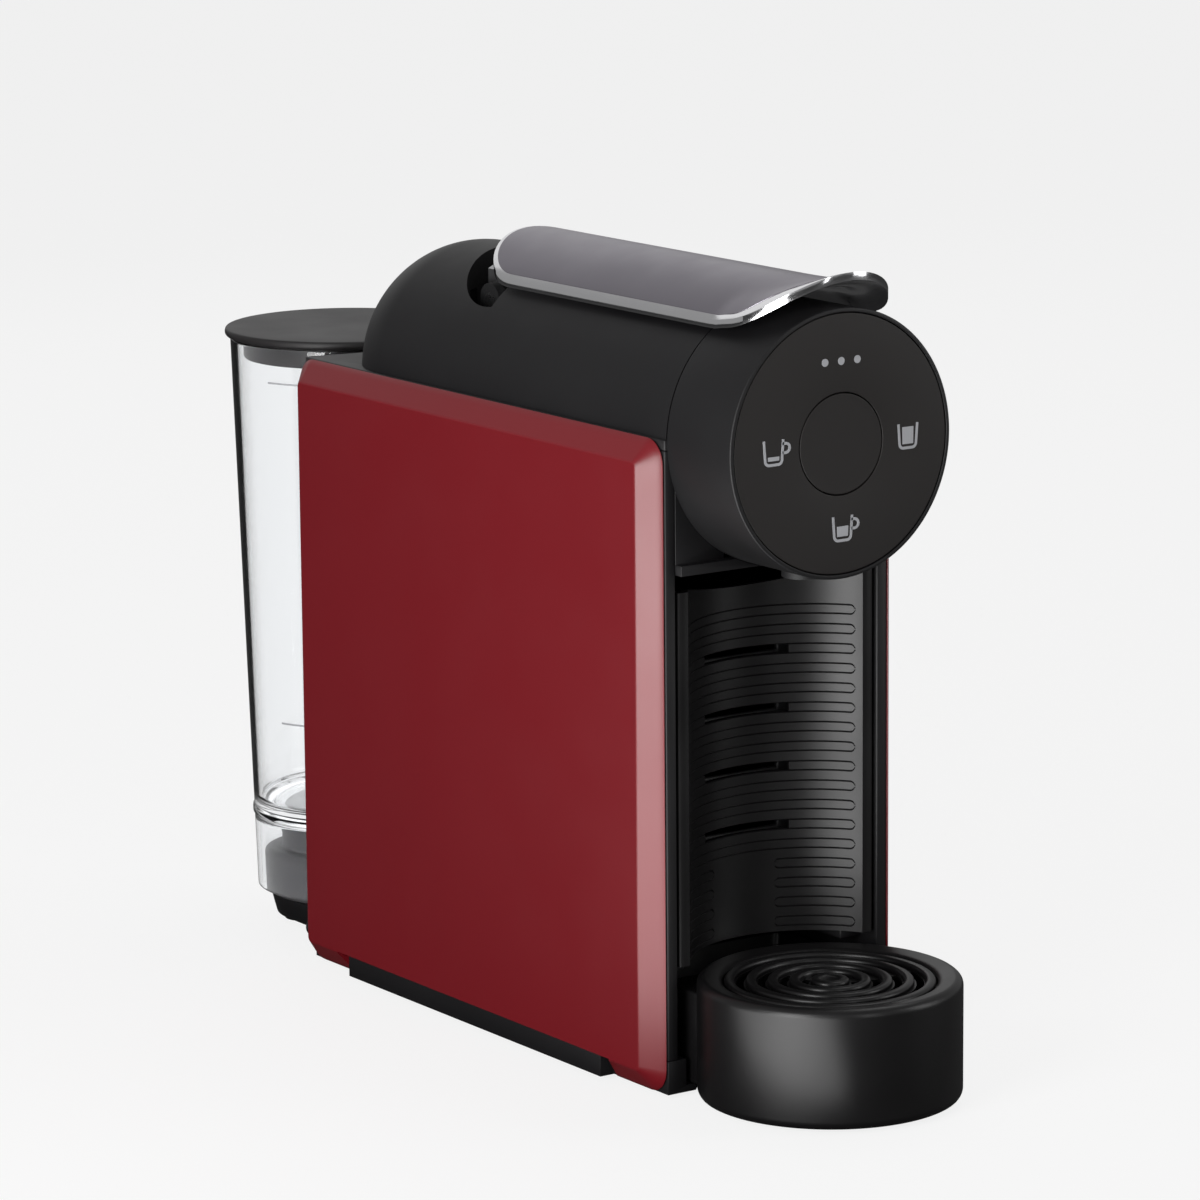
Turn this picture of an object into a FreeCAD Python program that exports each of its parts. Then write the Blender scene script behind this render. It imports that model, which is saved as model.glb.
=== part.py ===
import FreeCAD, Part
import math
import os
import Sketcher

# A slim pod coffee machine.  Millimetres, +Z up, front towards -Y, +X to the right seen from the front.
# The origin is the middle of the footprint on the table.

SIZES = {
    "overall_width": 96.0,      # across the two side panels
    "overall_depth": 354.1,     # tray front to tank lid back
    "deck_height": 204.3,       # top of the body, where the head sits
    "deck_wall": 3.3,
    "frame_wall": 3.8,
    "panel_bevel": 6.0,         # how far the panels stand out from the frames
    "panel_slope": 7.0,         # width of the bevel seen from the side
    "panel_wall": 2.4,
    "panel_lip": 0.2,
    "base_height": 12.0,
    "base_floor": 1.5,          # underside of the base
    "foot_radius": 7.0,
    "head_radius": 40.9,
    "head_drop": 1.1,           # head axis below the deck top
    "head_overhang": 32.2,      # head face ahead of the body front
    "head_wall": 2.4,
    "dome_length": 37.7,
    "dome_setback": 6.1,        # end of the dome ahead of the body back
    "face_rim": 1.3,
    "face_depth": 3.4,
    "button_radius": 15.2,
    "button_travel": 1.2,
    "running_gap": 0.4,         # round the button, the drawer and the tray
    "fit_gap": 0.05,            # radial clearance of pins in their holes
    "lever_half_width": 27.0,
    "lever_crown_radius": 36.1,
    "lever_crown_height": 251.5,
    "lever_reach": 38.0,        # front tip ahead of the body front
    "lever_setback": 106.0,     # centre of its round back end behind the body front
    "lever_lift": 4.1,          # how far the front tip curls up
    "lever_clearance": 1.0,     # under the lever
    "lip_thickness": 2.6,       # of the curled front lip
    "lip_half_width": 18.0,     # of the finger gap under the lip
    "lip_root": 8.0,            # from the start of the curl to the back of the finger gap
    "pocket_radius": 30.6,      # round the swing of the lever's back end
    "plate_thickness": 1.2,
    "hinge_setback": 120.5,     # hinge pin behind the body front
    "hinge_height": 231.0,
    "hinge_pin_radius": 2.5,
    "crank_radius": 23.0,       # hinge pin to drive pin
    "crank_angle": 37.5,        # degrees either side of vertical
    "cheek_middle": 17.8,
    "cheek_thickness": 4.0,
    "arm_middle": 23.0,
    "arm_thickness": 4.0,
    "capsule_radius": 18.5,
    "capsule_length": 28.0,
    "brew_height": 203.0,
    "clamp_plate_thickness": 12.0,
    "tray_radius": 40.6,
    "tray_height": 38.7,
    "tray_overlap": 26.4,       # tray axis to the body front
    "tray_floor": 3.0,
    "tray_wall": 6.0,
    "tray_tail_length": 44.0,
    "grid_radius": 32.3,
    "grid_thickness": 3.0,
    "grid_ring_pitch": 7.2,
    "grid_ring_width": 3.4,
    "concave_radius": 38.3,
    "concave_setback": 18.8,    # concave axis ahead of the body front
    "drawer_bottom": 41.0,
    "drawer_top": 157.0,
    "drawer_gap": 1.0,          # between drawer and frame
    "mouth_radius": 118.0,      # of the dip in the drawer's top edge
    "mouth_dip": 5.0,
    "drawer_wall": 2.4,
    "drawer_depth": 96.0,
    "rib_pitch": 6.2,
    "rib_height": 2.9,
    "rib_depth": 0.5,
    "slot_height": 2.6,
    "slot_half_width": 16.0,
    "tank_radius": 38.4,
    "tank_foot_radius": 32.7,
    "tank_wall": 2.2,
    "tank_top": 202.7,
    "tank_bottom": 12.5,
    "tank_floor_height": 41.3,
    "tank_setback": 42.9,       # tank axis behind the body back
    "cover_radius": 160.0,      # of the shallow hollow in the back of the body
    "cover_hollow": 4.6,        # its depth
    "lid_radius": 40.2,
    "lid_thickness": 3.0,
    "lid_skirt_radius": 34.6,
    "platform_height": 10.5,
    "platform_floor": 2.8,
    "platform_radius": 28.5,
    "dock_radius": 29.9,
    "dock_step_height": 27.0,
    "dock_top_height": 37.6,
    "dock_top_radius": 23.7,
    "valve_radius": 5.0,
    "hose_radius": 3.0,
}


class Size:
    """A length that carries both its number and the formula that a property is bound to."""

    def __init__(self, formula, number):
        self.formula = formula
        self.number = number

    def __add__(self, other):
        other = size(other)
        return Size(f"({self.formula} + {other.formula})", self.number + other.number)

    def __sub__(self, other):
        other = size(other)
        return Size(f"({self.formula} - {other.formula})", self.number - other.number)

    def __mul__(self, other):
        other = size(other)
        return Size(f"({self.formula} * {other.formula})", self.number * other.number)

    def __truediv__(self, other):
        other = size(other)
        return Size(f"({self.formula} / {other.formula})", self.number / other.number)

    def __neg__(self):
        return Size(f"(0 - {self.formula})", -self.number)

    def __radd__(self, other):
        return size(other) + self

    def __rsub__(self, other):
        return size(other) - self

    def __rmul__(self, other):
        return size(other) * self


def size(value):
    """A plain number or a Size, as a Size."""
    if isinstance(value, Size):
        return value
    return Size(repr(float(value)), float(value))


def sine(angle):
    return Size(f"sin({angle.formula})", math.sin(math.radians(angle.number)))


def cosine(angle):
    return Size(f"cos({angle.formula})", math.cos(math.radians(angle.number)))


doc = FreeCAD.newDocument("pod_coffee_machine")
sheet = doc.addObject("Spreadsheet::Sheet", "dim")
for row, (name, number) in enumerate(SIZES.items(), 1):
    sheet.set(f"A{row}", name)
    sheet.set(f"B{row}", str(number))
    sheet.setAlias(f"B{row}", name)
doc.recompute()


class Dimensions:
    """Every driving dimension of the sheet, by its name."""


d = Dimensions()
for name, number in SIZES.items():
    setattr(d, name, Size(f"dim.{name}", number))

NODES = {}
AXIS_TURNS = {
    "X": FreeCAD.Rotation(FreeCAD.Vector(0, 1, 0), 90),
    "Y": FreeCAD.Rotation(FreeCAD.Vector(1, 0, 0), -90),
    "Z": FreeCAD.Rotation(),
}
FAR = 400       # reach of the cutting blocks, beyond every piece


def bind(shape, **values):
    """Bind each property to its formula.  px, py and pz are the position."""
    paths = {"px": "Placement.Base.x", "py": "Placement.Base.y", "pz": "Placement.Base.z"}
    for name, value in values.items():
        shape.setExpression(paths.get(name, name), size(value).formula)
    return shape


def box(x, y, z):
    """A block from its low and high x, y and z."""
    low = [size(pair[0]) for pair in (x, y, z)]
    high = [size(pair[1]) for pair in (x, y, z)]
    block = doc.addObject("Part::Box", "Block")
    lengths = [h - l for l, h in zip(low, high)]
    return bind(block, Length=lengths[0], Width=lengths[1], Height=lengths[2],
                px=low[0], py=low[1], pz=low[2])


def round_bar(axis, radius, start, end, across=(0, 0)):
    """A cylinder along an axis, from start to end, at its two other coordinates in X, Y, Z order."""
    bar = doc.addObject("Part::Cylinder", "Bar")
    bar.Placement.Rotation = AXIS_TURNS[axis]
    return bind(bar, Radius=radius, Height=size(end) - start, **place_on(axis, start, across))


def cone(axis, start_radius, end_radius, start, end, across=(0, 0)):
    taper = doc.addObject("Part::Cone", "Taper")
    taper.Placement.Rotation = AXIS_TURNS[axis]
    return bind(taper, Radius1=start_radius, Radius2=end_radius, Height=size(end) - start,
                **place_on(axis, start, across))


def place_on(axis, start, across):
    first, second = across
    if axis == "X":
        return {"px": start, "py": first, "pz": second}
    if axis == "Y":
        return {"px": first, "py": start, "pz": second}
    return {"px": first, "py": second, "pz": start}


def tube(axis, outer, inner, start, end, across=(0, 0)):
    return cut(round_bar(axis, outer, start, end, across),
               round_bar(axis, inner, size(start) - 1, size(end) + 1, across))


def cut(base, *tools):
    for tool in tools:
        result = doc.addObject("Part::Cut", "Cut")
        result.Base, result.Tool = base, tool
        base = result
    return base


def fuse(*shapes):
    result = doc.addObject("Part::MultiFuse", "Joined")
    result.Shapes = list(shapes)
    return result


def common(first, *others):
    for other in others:
        result = doc.addObject("Part::MultiCommon", "Shared")
        result.Shapes = [first, other]
        first = result
    return first


def group(*shapes):
    """Separate solids that make one sub-part."""
    result = doc.addObject("Part::Compound", "Group")
    result.Links = list(shapes)
    return result


def sub_part(label, shape):
    shape.Label = label
    NODES[label] = shape
    return shape


def origin_plane(body, role):
    return next(feature for feature in body.Origin.OriginFeatures if feature.Role == role)


def outline(body, plane, points):
    """A closed sketch on an origin plane whose corners are bound to sizes."""
    sketch = body.newObject("Sketcher::SketchObject", "Outline")
    sketch.AttachmentSupport = [(origin_plane(body, plane), "")]
    sketch.MapMode = "FlatFace"
    points = [(size(x), size(y)) for x, y in points]
    corners = [FreeCAD.Vector(x.number, y.number, 0) for x, y in points]
    count = len(corners)
    for index in range(count):
        sketch.addGeometry(Part.LineSegment(corners[index], corners[(index + 1) % count]))
    for index in range(count):
        sketch.addConstraint(Sketcher.Constraint("Coincident", index, 2, (index + 1) % count, 1))
    for index, point in enumerate(points):
        for kind, value in zip(("DistanceX", "DistanceY"), point):
            rule = sketch.addConstraint(Sketcher.Constraint(kind, -1, 1, index, 1, value.number))
            sketch.setExpression(f"Constraints[{rule}]", value.formula)
    return sketch


def turned(points, x=0, y=0):
    """A body turned about a vertical axis from its half outline of radius and height."""
    body = doc.addObject("PartDesign::Body", "Turned")
    sketch = outline(body, "XZ_Plane", points)
    revolution = body.newObject("PartDesign::Revolution", "Revolution")
    revolution.Profile = sketch
    revolution.ReferenceAxis = (sketch, ["V_Axis"])
    revolution.Angle = 360
    sketch.Visibility = False
    return bind(body, px=x, py=y)


def plate(plane, points, start, thickness):
    """A body padded from an outline.  The XZ plane pads towards +Y, the YZ plane towards +X."""
    body = doc.addObject("PartDesign::Body", "Plate")
    sketch = outline(body, plane, points)
    pad = body.newObject("PartDesign::Pad", "Pad")
    pad.Profile = sketch
    pad.Reversed = plane == "XZ_Plane"
    bind(pad, Length=thickness)
    sketch.Visibility = False
    along = {"XZ_Plane": "py", "YZ_Plane": "px", "XY_Plane": "pz"}[plane]
    return bind(body, **{along: start})


# ---- places that several pieces share ----------------------------------------------------------
half_width = d.overall_width / 2
frame_out = half_width - d.panel_bevel - d.panel_lip
frame_in = frame_out - d.frame_wall
tray_y = d.tray_radius - d.overall_depth / 2
tank_y = d.overall_depth / 2 - d.lid_radius
front_y = tray_y + d.tray_overlap
back_y = tank_y - d.tank_setback
frame_top = d.deck_height - d.deck_wall
head_radius = d.head_radius
head_inside = head_radius - d.head_wall
head_z = d.deck_height - d.head_drop
face_y = front_y - d.head_overhang
housing_end = back_y - d.dome_setback - d.dome_length
ledge_low = head_z - head_radius + 0.5
ledge_high = ledge_low + 3.2
MOST = 0.2      # flat pieces of one body that only lie beside each other


def sides():
    return (-1, 1)


def span(side, near, far):
    """An x range at the left (-1) or right (1) of the machine, near and far from the middle."""
    if side > 0:
        return (near, far)
    return (-size(far), -size(near))


# ---- base, feet and rear platform ----------------------------------------------------------------
notch_half = frame_in - 3
tail_back = front_y + d.tray_tail_length
notch_back = tail_back + 2
base_sole = box((-frame_out, frame_out), (front_y, back_y), (d.base_floor, d.base_height))
base_notch = box((-notch_half, notch_half), (front_y - 1, notch_back),
                 (d.base_floor + 2.1, d.base_height + 1))
base_well = box((-notch_half, notch_half), (notch_back + 3, back_y - 24),
                (d.base_floor + 2.4, d.base_height + 1))
platform_sole = d.platform_radius - 2
platform = cone("Z", platform_sole, d.platform_radius, d.platform_floor, d.platform_height, (0, tank_y))
neck = plate("XZ_Plane", ((-platform_sole, d.platform_floor), (platform_sole, d.platform_floor),
                          (d.platform_radius, d.platform_height), (-d.platform_radius, d.platform_height)),
             back_y - 2, d.tank_setback + 2)
rail_front, rail_back = front_y + 29, back_y - 29
rails = [box(span(s, frame_out - 1, half_width - 1), (rail_front, rail_back),
             (d.base_floor, d.base_height - 3)) for s in sides()]
tray_bay = round_bar("Z", d.tray_radius + d.running_gap, 0, d.base_height + 1, (0, tray_y))
hose_z = d.base_height - 5
hose_channel = box((-d.hose_radius - 0.3, d.hose_radius + 0.3), (back_y - 25, tank_y + d.hose_radius + 0.3),
                   (hose_z - d.hose_radius - 0.3, d.base_height + 1))
sub_part("base", cut(fuse(cut(base_sole, base_notch, base_well), platform, neck, *rails),
                     hose_channel, tray_bay))

front_feet = [round_bar("Z", d.foot_radius, 0, d.base_floor, (s * (frame_out - 10), front_y + 16))
              for s in sides()]
rear_feet = [round_bar("Z", d.foot_radius - 1, 0, d.platform_floor, (s * 16, tank_y + 8)) for s in sides()]
sub_part("feet", group(*front_feet, *rear_feet))

# ---- side panels: bevelled dishes ------------------------------------------------------------------


def bevelled_block(side, inset):
    """The frustum of a panel, or its hollow when it is inset by a wall."""
    slope = d.panel_slope
    block = doc.addObject("Part::Wedge", "Bevelled")
    turn = FreeCAD.Rotation(FreeCAD.Vector(0, 0, 1), -90 * side)
    block.Placement.Rotation = turn
    low_z, high_z = d.base_floor + inset, d.deck_height - inset
    low_y, high_y = front_y + inset, back_y + 2 - inset
    base_x = half_width - d.panel_bevel
    along = (low_y, high_y) if side < 0 else (-high_y, -low_y)
    bind(block, Xmin=along[0], Xmax=along[1], Zmin=low_z, Zmax=high_z,
         X2min=along[0] + slope, X2max=along[1] - slope, Z2min=low_z + slope, Z2max=high_z - slope,
         Ymin=0, Ymax=d.panel_bevel - inset)
    return bind(block, px=base_x * side)


for side, label in ((-1, "left_panel"), (1, "right_panel")):
    foot_gap = box(span(side, half_width - d.panel_bevel - 1, half_width + 1),
                   (rail_front - MOST, rail_back + MOST), (0, d.base_height - 3 + MOST))
    sub_part(label, cut(bevelled_block(side, size(0)), bevelled_block(side, d.panel_wall), foot_gap))

# ---- frames, neck, deck and rear cover ---------------------------------------------------------
for side, label in ((-1, "left_frame"), (1, "right_frame")):
    wall = box(span(side, frame_in, frame_out), (front_y, back_y), (d.base_height, frame_top))
    sub_part(label, wall)

neck_wall = box((-frame_in, frame_in), (front_y, front_y + 3), (ledge_low, frame_top))
collar_room = round_bar("Y", head_radius + MOST, front_y - 4, front_y + MOST, (0, head_z))
neck_ledge = cut(box((-frame_in, frame_in), (front_y - 3, front_y + 12), (ledge_low, ledge_high)),
                 collar_room)
neck_bore = round_bar("Y", head_inside, front_y - 4, front_y + 20, (0, head_z))
neck_slot = box((-20, 20), (front_y - 4, front_y + 20), (ledge_low - 1, head_z))
sub_part("neck_frame", fuse(cut(neck_wall, neck_bore, neck_slot), neck_ledge))

deck = box((-frame_out, frame_out), (front_y, back_y), (frame_top, d.deck_height))
cover_y = back_y - d.cover_hollow + d.cover_radius
deck_bore = round_bar("Z", d.cover_radius, frame_top - 1, d.deck_height + 1, (0, cover_y))
arm_out = d.arm_middle + d.arm_thickness / 2
arm_in = d.arm_middle - d.arm_thickness / 2
deck_hole_half = arm_out + 1.5
hinge_y = front_y + d.hinge_setback
crank_y = d.crank_radius * sine(d.crank_angle)
fork_back = hinge_y + crank_y + 7
deck_hole = box((-deck_hole_half, deck_hole_half), (front_y - 1, fork_back + 3),
                (frame_top - 1, d.deck_height + 1))
sub_part("top_deck", cut(deck, deck_bore, deck_hole))

cover_tube = tube("Z", d.cover_radius + 2.4, d.cover_radius, d.base_height, frame_top, (0, cover_y))
cover_box = box((-frame_in + MOST, frame_in - MOST), (back_y - 20, back_y), (d.base_height, frame_top))
sub_part("rear_cover", common(cover_tube, cover_box))

# ---- head: upper housing, collar and face ------------------------------------------------------


def head_form(radius, length):
    """The long rounded form of the head, at a radius and with a dome length."""
    dome = doc.addObject("Part::Ellipsoid", "Dome")
    bind(dome, Radius1=radius, Radius2=radius, Radius3=length, py=housing_end, pz=head_z)
    return fuse(round_bar("Y", radius, front_y, housing_end, (0, head_z)), dome)


above_deck = box((-FAR, FAR), (-FAR, FAR), (d.deck_height, FAR))
shell = cut(head_form(head_radius, d.dome_length),
            head_form(head_inside, d.dome_length - d.head_wall))
shell = common(shell, box((-FAR, FAR), (front_y, FAR), (d.deck_height, FAR)))
pocket_floor = d.hinge_height - 12
pocket_centre = hinge_y - 6.1
pocket_front = hinge_y - 10.5
pocket_mass = common(head_form(head_radius, d.dome_length),
                     round_bar("Z", d.pocket_radius + 1.6, pocket_floor - 1.6, FAR, (0, pocket_centre)),
                     box((-FAR, FAR), (pocket_front - 1.6, FAR), (0, FAR)))
pocket = common(round_bar("Z", d.pocket_radius, pocket_floor, FAR, (0, pocket_centre)),
                box((-FAR, FAR), (pocket_front, FAR), (0, FAR)))
cheek_out = d.cheek_middle + d.cheek_thickness / 2
cheek_in = d.cheek_middle - d.cheek_thickness / 2
arm_slots = [box(span(s, cheek_in - 0.5, cheek_out + 0.5),
                 (hinge_y - crank_y - 6.5, hinge_y + crank_y + 6.5),
                 (d.deck_height - 1, d.hinge_height + 1)) for s in sides()]
clamp_back = front_y + 38
capsule_back = clamp_back + d.capsule_length
capsule_slot = box((-d.capsule_radius - 1, d.capsule_radius + 1), (clamp_back - 1, capsule_back + 1),
                   (head_z + 10, FAR))
sub_part("upper_housing", cut(fuse(shell, pocket_mass), pocket, capsule_slot, *arm_slots))

collar = tube("Y", head_radius, head_inside, face_y + d.face_depth, front_y, (0, head_z))
collar_rim = tube("Y", head_radius, head_radius - d.face_rim, face_y, face_y + d.face_depth, (0, head_z))
spout_y = front_y - 13
spout_hole = round_bar("Z", 7, ledge_low - 2, ledge_low + 6, (0, spout_y))
sub_part("front_collar", cut(fuse(collar, collar_rim), spout_hole))

face = round_bar("Y", head_radius - d.face_rim - 0.3, face_y, face_y + d.face_depth - 0.2, (0, head_z))
face_bore = round_bar("Y", d.button_radius + d.running_gap, face_y - 1, face_y + d.face_depth + 1,
                      (0, head_z))
sub_part("face_plate", cut(face, face_bore))

button_back = face_y + 9
board_front = face_y + 20
button_cap = round_bar("Y", d.button_radius, face_y, button_back, (0, head_z))
button_hollow = round_bar("Y", d.button_radius - 2, face_y + 2.5, button_back + 1, (0, head_z))
button_stem = round_bar("Y", 4, face_y + 2, button_back, (0, head_z))
sub_part("centre_button", fuse(cut(button_cap, button_hollow), button_stem))

switch_front = button_back + d.button_travel + 0.4
sub_part("button_switch", fuse(box((-6, 6), (switch_front + 3, board_front), (head_z - 6, head_z + 6)),
                               round_bar("Y", 3, switch_front, switch_front + 4, (0, head_z))))
board_disc = round_bar("Y", head_inside - 0.2, board_front, board_front + 1.6, (0, head_z))
sub_part("control_board", common(board_disc, box((-FAR, FAR), (-FAR, FAR), (head_z - 18, FAR))))

# ---- lever -------------------------------------------------------------------------------------
crown_z = d.lever_crown_height - d.lever_crown_radius
under_radius = head_radius + d.lever_clearance
lever_tip_y = front_y - d.lever_reach
lever_front_centre = lever_tip_y + d.lever_half_width
lever_back_centre = front_y + d.lever_setback


def lever_plan(inset, low, high):
    """The rounded plan of the lever, inset from its edge, as a block between two heights."""
    half = d.lever_half_width - inset
    return fuse(box((-half, half), (lever_front_centre, lever_back_centre), (low, high)),
                round_bar("Z", half, low, high, (0, lever_back_centre)),
                round_bar("Z", half, low, high, (0, lever_front_centre)))


def lever_skin(top_radius, inset):
    """The crowned slab between the top arc and the clearance over the head."""
    top = round_bar("Y", top_radius, -FAR / 2, FAR / 2, (0, crown_z))
    under = round_bar("Y", under_radius, -FAR / 2, FAR / 2, (0, head_z))
    return cut(common(lever_plan(inset, head_z, d.lever_crown_height + 1), top), under)


tip_start = lever_front_centre - 2
tip_run = tip_start - lever_tip_y
tip_block = common(lever_plan(0, head_z, d.lever_crown_height + d.lever_lift + 2),
                   box((-FAR, FAR), (-FAR, tip_start), (0, FAR)),
                   round_bar("Y", d.lever_crown_radius, -FAR / 2, FAR / 2, (0, crown_z + d.lever_lift)),
                   plate("YZ_Plane", ((tip_start, 0), (tip_start, d.lever_crown_height),
                                      (tip_start - tip_run * 0.45, d.lever_crown_height + d.lever_lift),
                                      (lever_tip_y - 1, d.lever_crown_height + d.lever_lift),
                                      (lever_tip_y - 1, 0)), -FAR / 4, FAR / 2))
tip_under = round_bar("Y", under_radius + 1.2, -FAR / 2, FAR / 2, (0, head_z))
lever_tip = cut(tip_block, tip_under)
plate_pocket = cut(common(lever_plan(size(2.4), head_z, FAR),
                          box((-FAR, FAR), (tip_start - 8, FAR), (0, FAR))),
                   round_bar("Y", d.lever_crown_radius - d.plate_thickness, -FAR / 2, FAR / 2, (0, crown_z)))
gap_back = tip_start - d.lip_root
gap_top = d.lever_crown_height + d.lever_lift - d.lip_thickness
finger_gap = common(plate("YZ_Plane", ((gap_back, 0), (gap_back, gap_top - 7), (gap_back - 6, gap_top),
                                       (lever_tip_y - 1, gap_top), (lever_tip_y - 1, 0)),
                          -d.lip_half_width, d.lip_half_width * 2),
                    round_bar("Y", d.lever_crown_radius - d.lip_thickness, -FAR / 2, FAR / 2,
                              (0, crown_z + d.lever_lift)))
sub_part("lever_shell", cut(fuse(lever_skin(d.lever_crown_radius, size(0)), lever_tip), plate_pocket,
                            finger_gap))

plate_top = common(lever_plan(size(2.5), head_z, FAR), box((-FAR, FAR), (tip_start - 7.9, FAR), (0, FAR)),
                   round_bar("Y", d.lever_crown_radius, -FAR / 2, FAR / 2, (0, crown_z)))
plate_seat = 0.06       # the plate lies just clear of its pocket
plate_under = round_bar("Y", d.lever_crown_radius - d.plate_thickness + plate_seat, -FAR / 2, FAR / 2,
                        (0, crown_z))
sub_part("lever_top_plate", cut(plate_top, plate_under))

crank_z = d.crank_radius * cosine(d.crank_angle)
drive_y = hinge_y + crank_y
drive_z = d.hinge_height - crank_z


def cheek(side):
    """One lever cheek: a hub on the hinge pin, an arm down to the drive pin and a root on the lever."""
    x_range = span(side, cheek_in, cheek_out)
    start, end = x_range
    hub = round_bar("X", 6, start, end, (hinge_y, d.hinge_height))
    arm_eye = round_bar("X", 4.5, start, end, (drive_y, drive_z))
    arm = plate("YZ_Plane", ((hinge_y - 4, d.hinge_height - 3), (hinge_y + 5, d.hinge_height + 3),
                             (drive_y + 3.6, drive_z + 2.7), (drive_y - 3.6, drive_z - 2.7)),
                start, d.cheek_thickness)
    lever_root = common(box(x_range, (hinge_y - 8.5, hinge_y + 7), (d.hinge_height - 1, FAR)),
                        round_bar("Y", under_radius - 0.03, 0, FAR, (0, head_z)))
    drive_pin = round_bar("X", d.hinge_pin_radius, *span(side, cheek_out - 1, arm_out), (drive_y, drive_z))
    hole = round_bar("X", d.hinge_pin_radius + d.fit_gap, start - 1, end + 1, (hinge_y, d.hinge_height))
    return cut(fuse(hub, arm_eye, arm, lever_root, drive_pin), hole)


sub_part("lever_cheeks", group(cheek(-1), cheek(1)))

# ---- hinge carried by the housing --------------------------------------------------------------
ear_in = cheek_out + 1.2
ear_out = ear_in + 3


def ear(side):
    start, end = span(side, ear_in, ear_out)
    post = box((start, end), (hinge_y - 5.5, hinge_y + 5.5), (pocket_floor, d.hinge_height))
    eye = round_bar("X", 5.5, start, end, (hinge_y, d.hinge_height))
    hole = round_bar("X", d.hinge_pin_radius + 0.01, start - 1, end + 1, (hinge_y, d.hinge_height))
    return cut(fuse(post, eye), hole)


sub_part("lever_cradle", group(ear(-1), ear(1)))
sub_part("lever_pin", round_bar("X", d.hinge_pin_radius, -ear_out, ear_out, (hinge_y, d.hinge_height)))

# ---- brewing: carriage, injection head, rails and collector ------------------------------------
clamp_front = clamp_back - d.clamp_plate_thickness
fork_half = d.hinge_pin_radius + 0.7
fork_top = drive_z + d.hinge_pin_radius + 1.4
fork_low = d.hinge_height - d.crank_radius - d.hinge_pin_radius - 0.6
arm_low = fork_low - 8
clamp_half_height = d.capsule_radius + 0.5
clamp_plate = box((-arm_out, arm_out), (clamp_front, clamp_back),
                  (d.brew_height - clamp_half_height, d.brew_height + clamp_half_height))
clamp_cup = round_bar("Y", d.capsule_radius - 3, clamp_back - 5, clamp_back + 1, (0, d.brew_height))
clamp_outlet = round_bar("Y", 3, clamp_front - 1, clamp_back, (0, d.brew_height - 8))
arms = [cut(box(span(s, arm_in, arm_out), (clamp_back - 1, fork_back), (arm_low, fork_top)),
            box(span(s, arm_in - 1, arm_out + 1), (drive_y - fork_half, drive_y + fork_half),
                (fork_low, fork_top + 1))) for s in sides()]
sub_part("extraction_carriage", cut(fuse(clamp_plate, *arms), clamp_cup, clamp_outlet))
sub_part("extraction_plate", cut(
    round_bar("Y", d.capsule_radius - 3, clamp_back - 4.9, clamp_back - 3.4, (0, d.brew_height)),
    *[round_bar("Y", 0.8, clamp_back - 6, clamp_back, (x, d.brew_height + z))
      for x in (-6, 0, 6) for z in (-6, 0, 6)]))

injection_back = capsule_back + 18
injector = fuse(round_bar("Y", d.capsule_radius - 1.5, capsule_back, injection_back, (0, d.brew_height)),
                box((-12, 12), (capsule_back + 6, injection_back), (d.brew_height - 26, d.brew_height)))
needles = [cone("Y", 0.6, 1.4, capsule_back - 4, capsule_back, (x, d.brew_height)) for x in (-6, 6)]
sub_part("injection_head", fuse(injector, *needles))

boiler_z = d.brew_height - 17
boiler_back = injection_back + 54
sub_part("boiler", fuse(round_bar("Y", 14, injection_back, boiler_back, (0, boiler_z)),
                        tube("Y", 16, 13, injection_back + 8, injection_back + 14, (0, boiler_z)),
                        tube("Y", 16, 13, boiler_back - 14, boiler_back - 8, (0, boiler_z))))

rail_in = arm_out + 0.5
shelf_top = arm_low - 0.4
rail_end = fork_back + 8


def brew_rail(side):
    web = box(span(side, rail_in + 1.3, frame_in), (front_y + 4, rail_end), (shelf_top - 4, frame_top))
    relief = box(span(side, rail_in + 6, frame_in - 3), (front_y + 8, rail_end - 4),
                 (shelf_top - 5, frame_top - 3))
    shelf = box(span(side, arm_in - 0.5, rail_in + 3), (clamp_back + 4, rail_end),
                (shelf_top - 3, shelf_top))
    return fuse(cut(web, relief), shelf)


head_bridge = box((-arm_in - 1, arm_in + 1), (capsule_back + 8, injection_back - 2),
                  (d.brew_height - 30, d.brew_height - 26))
bridge_ends = [box(span(s, arm_in, rail_in + 3), (capsule_back + 8, injection_back - 2),
                   (d.brew_height - 30, shelf_top - 3)) for s in sides()]
sub_part("brew_rails", fuse(brew_rail(-1), brew_rail(1), head_bridge, *bridge_ends))

trough_top = d.brew_height - clamp_half_height - 0.6
trough_low = ledge_high + 1
trough = cut(box((-13, 13), (spout_y - 8, clamp_back - 4), (trough_low, trough_top)),
             box((-11, 11), (spout_y - 6, clamp_back - 6), (trough_low + 2, trough_top + 1)))
spout = round_bar("Z", 6.6, ledge_low - 2.5, trough_low + 1, (0, spout_y))
spout_bore = round_bar("Z", 3, ledge_low - 4, trough_low + 4, (0, spout_y))
trough_lugs = [box(span(s, 12.5, rail_in + 2), (front_y + 8, front_y + 14), (trough_low + 2, trough_top - 2))
               for s in sides()]
sub_part("coffee_collector", cut(fuse(trough, spout, *trough_lugs), spout_bore))

chute_half = d.capsule_radius + 2
chute = cut(box((-chute_half - 1.6, chute_half + 1.6), (clamp_back - 2.5, capsule_back + 4.5),
                (d.drawer_top + 2, trough_top)),
            box((-chute_half, chute_half), (clamp_back - 0.9, capsule_back + 2.9),
                (d.drawer_top + 1, trough_top + 1)))
chute_wings = [box(span(s, chute_half + 1.5, frame_in), (clamp_back + 2, capsule_back - 2),
                   (d.drawer_top + 4, d.drawer_top + 7)) for s in sides()]
sub_part("capsule_chute", fuse(chute, *chute_wings))

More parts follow.
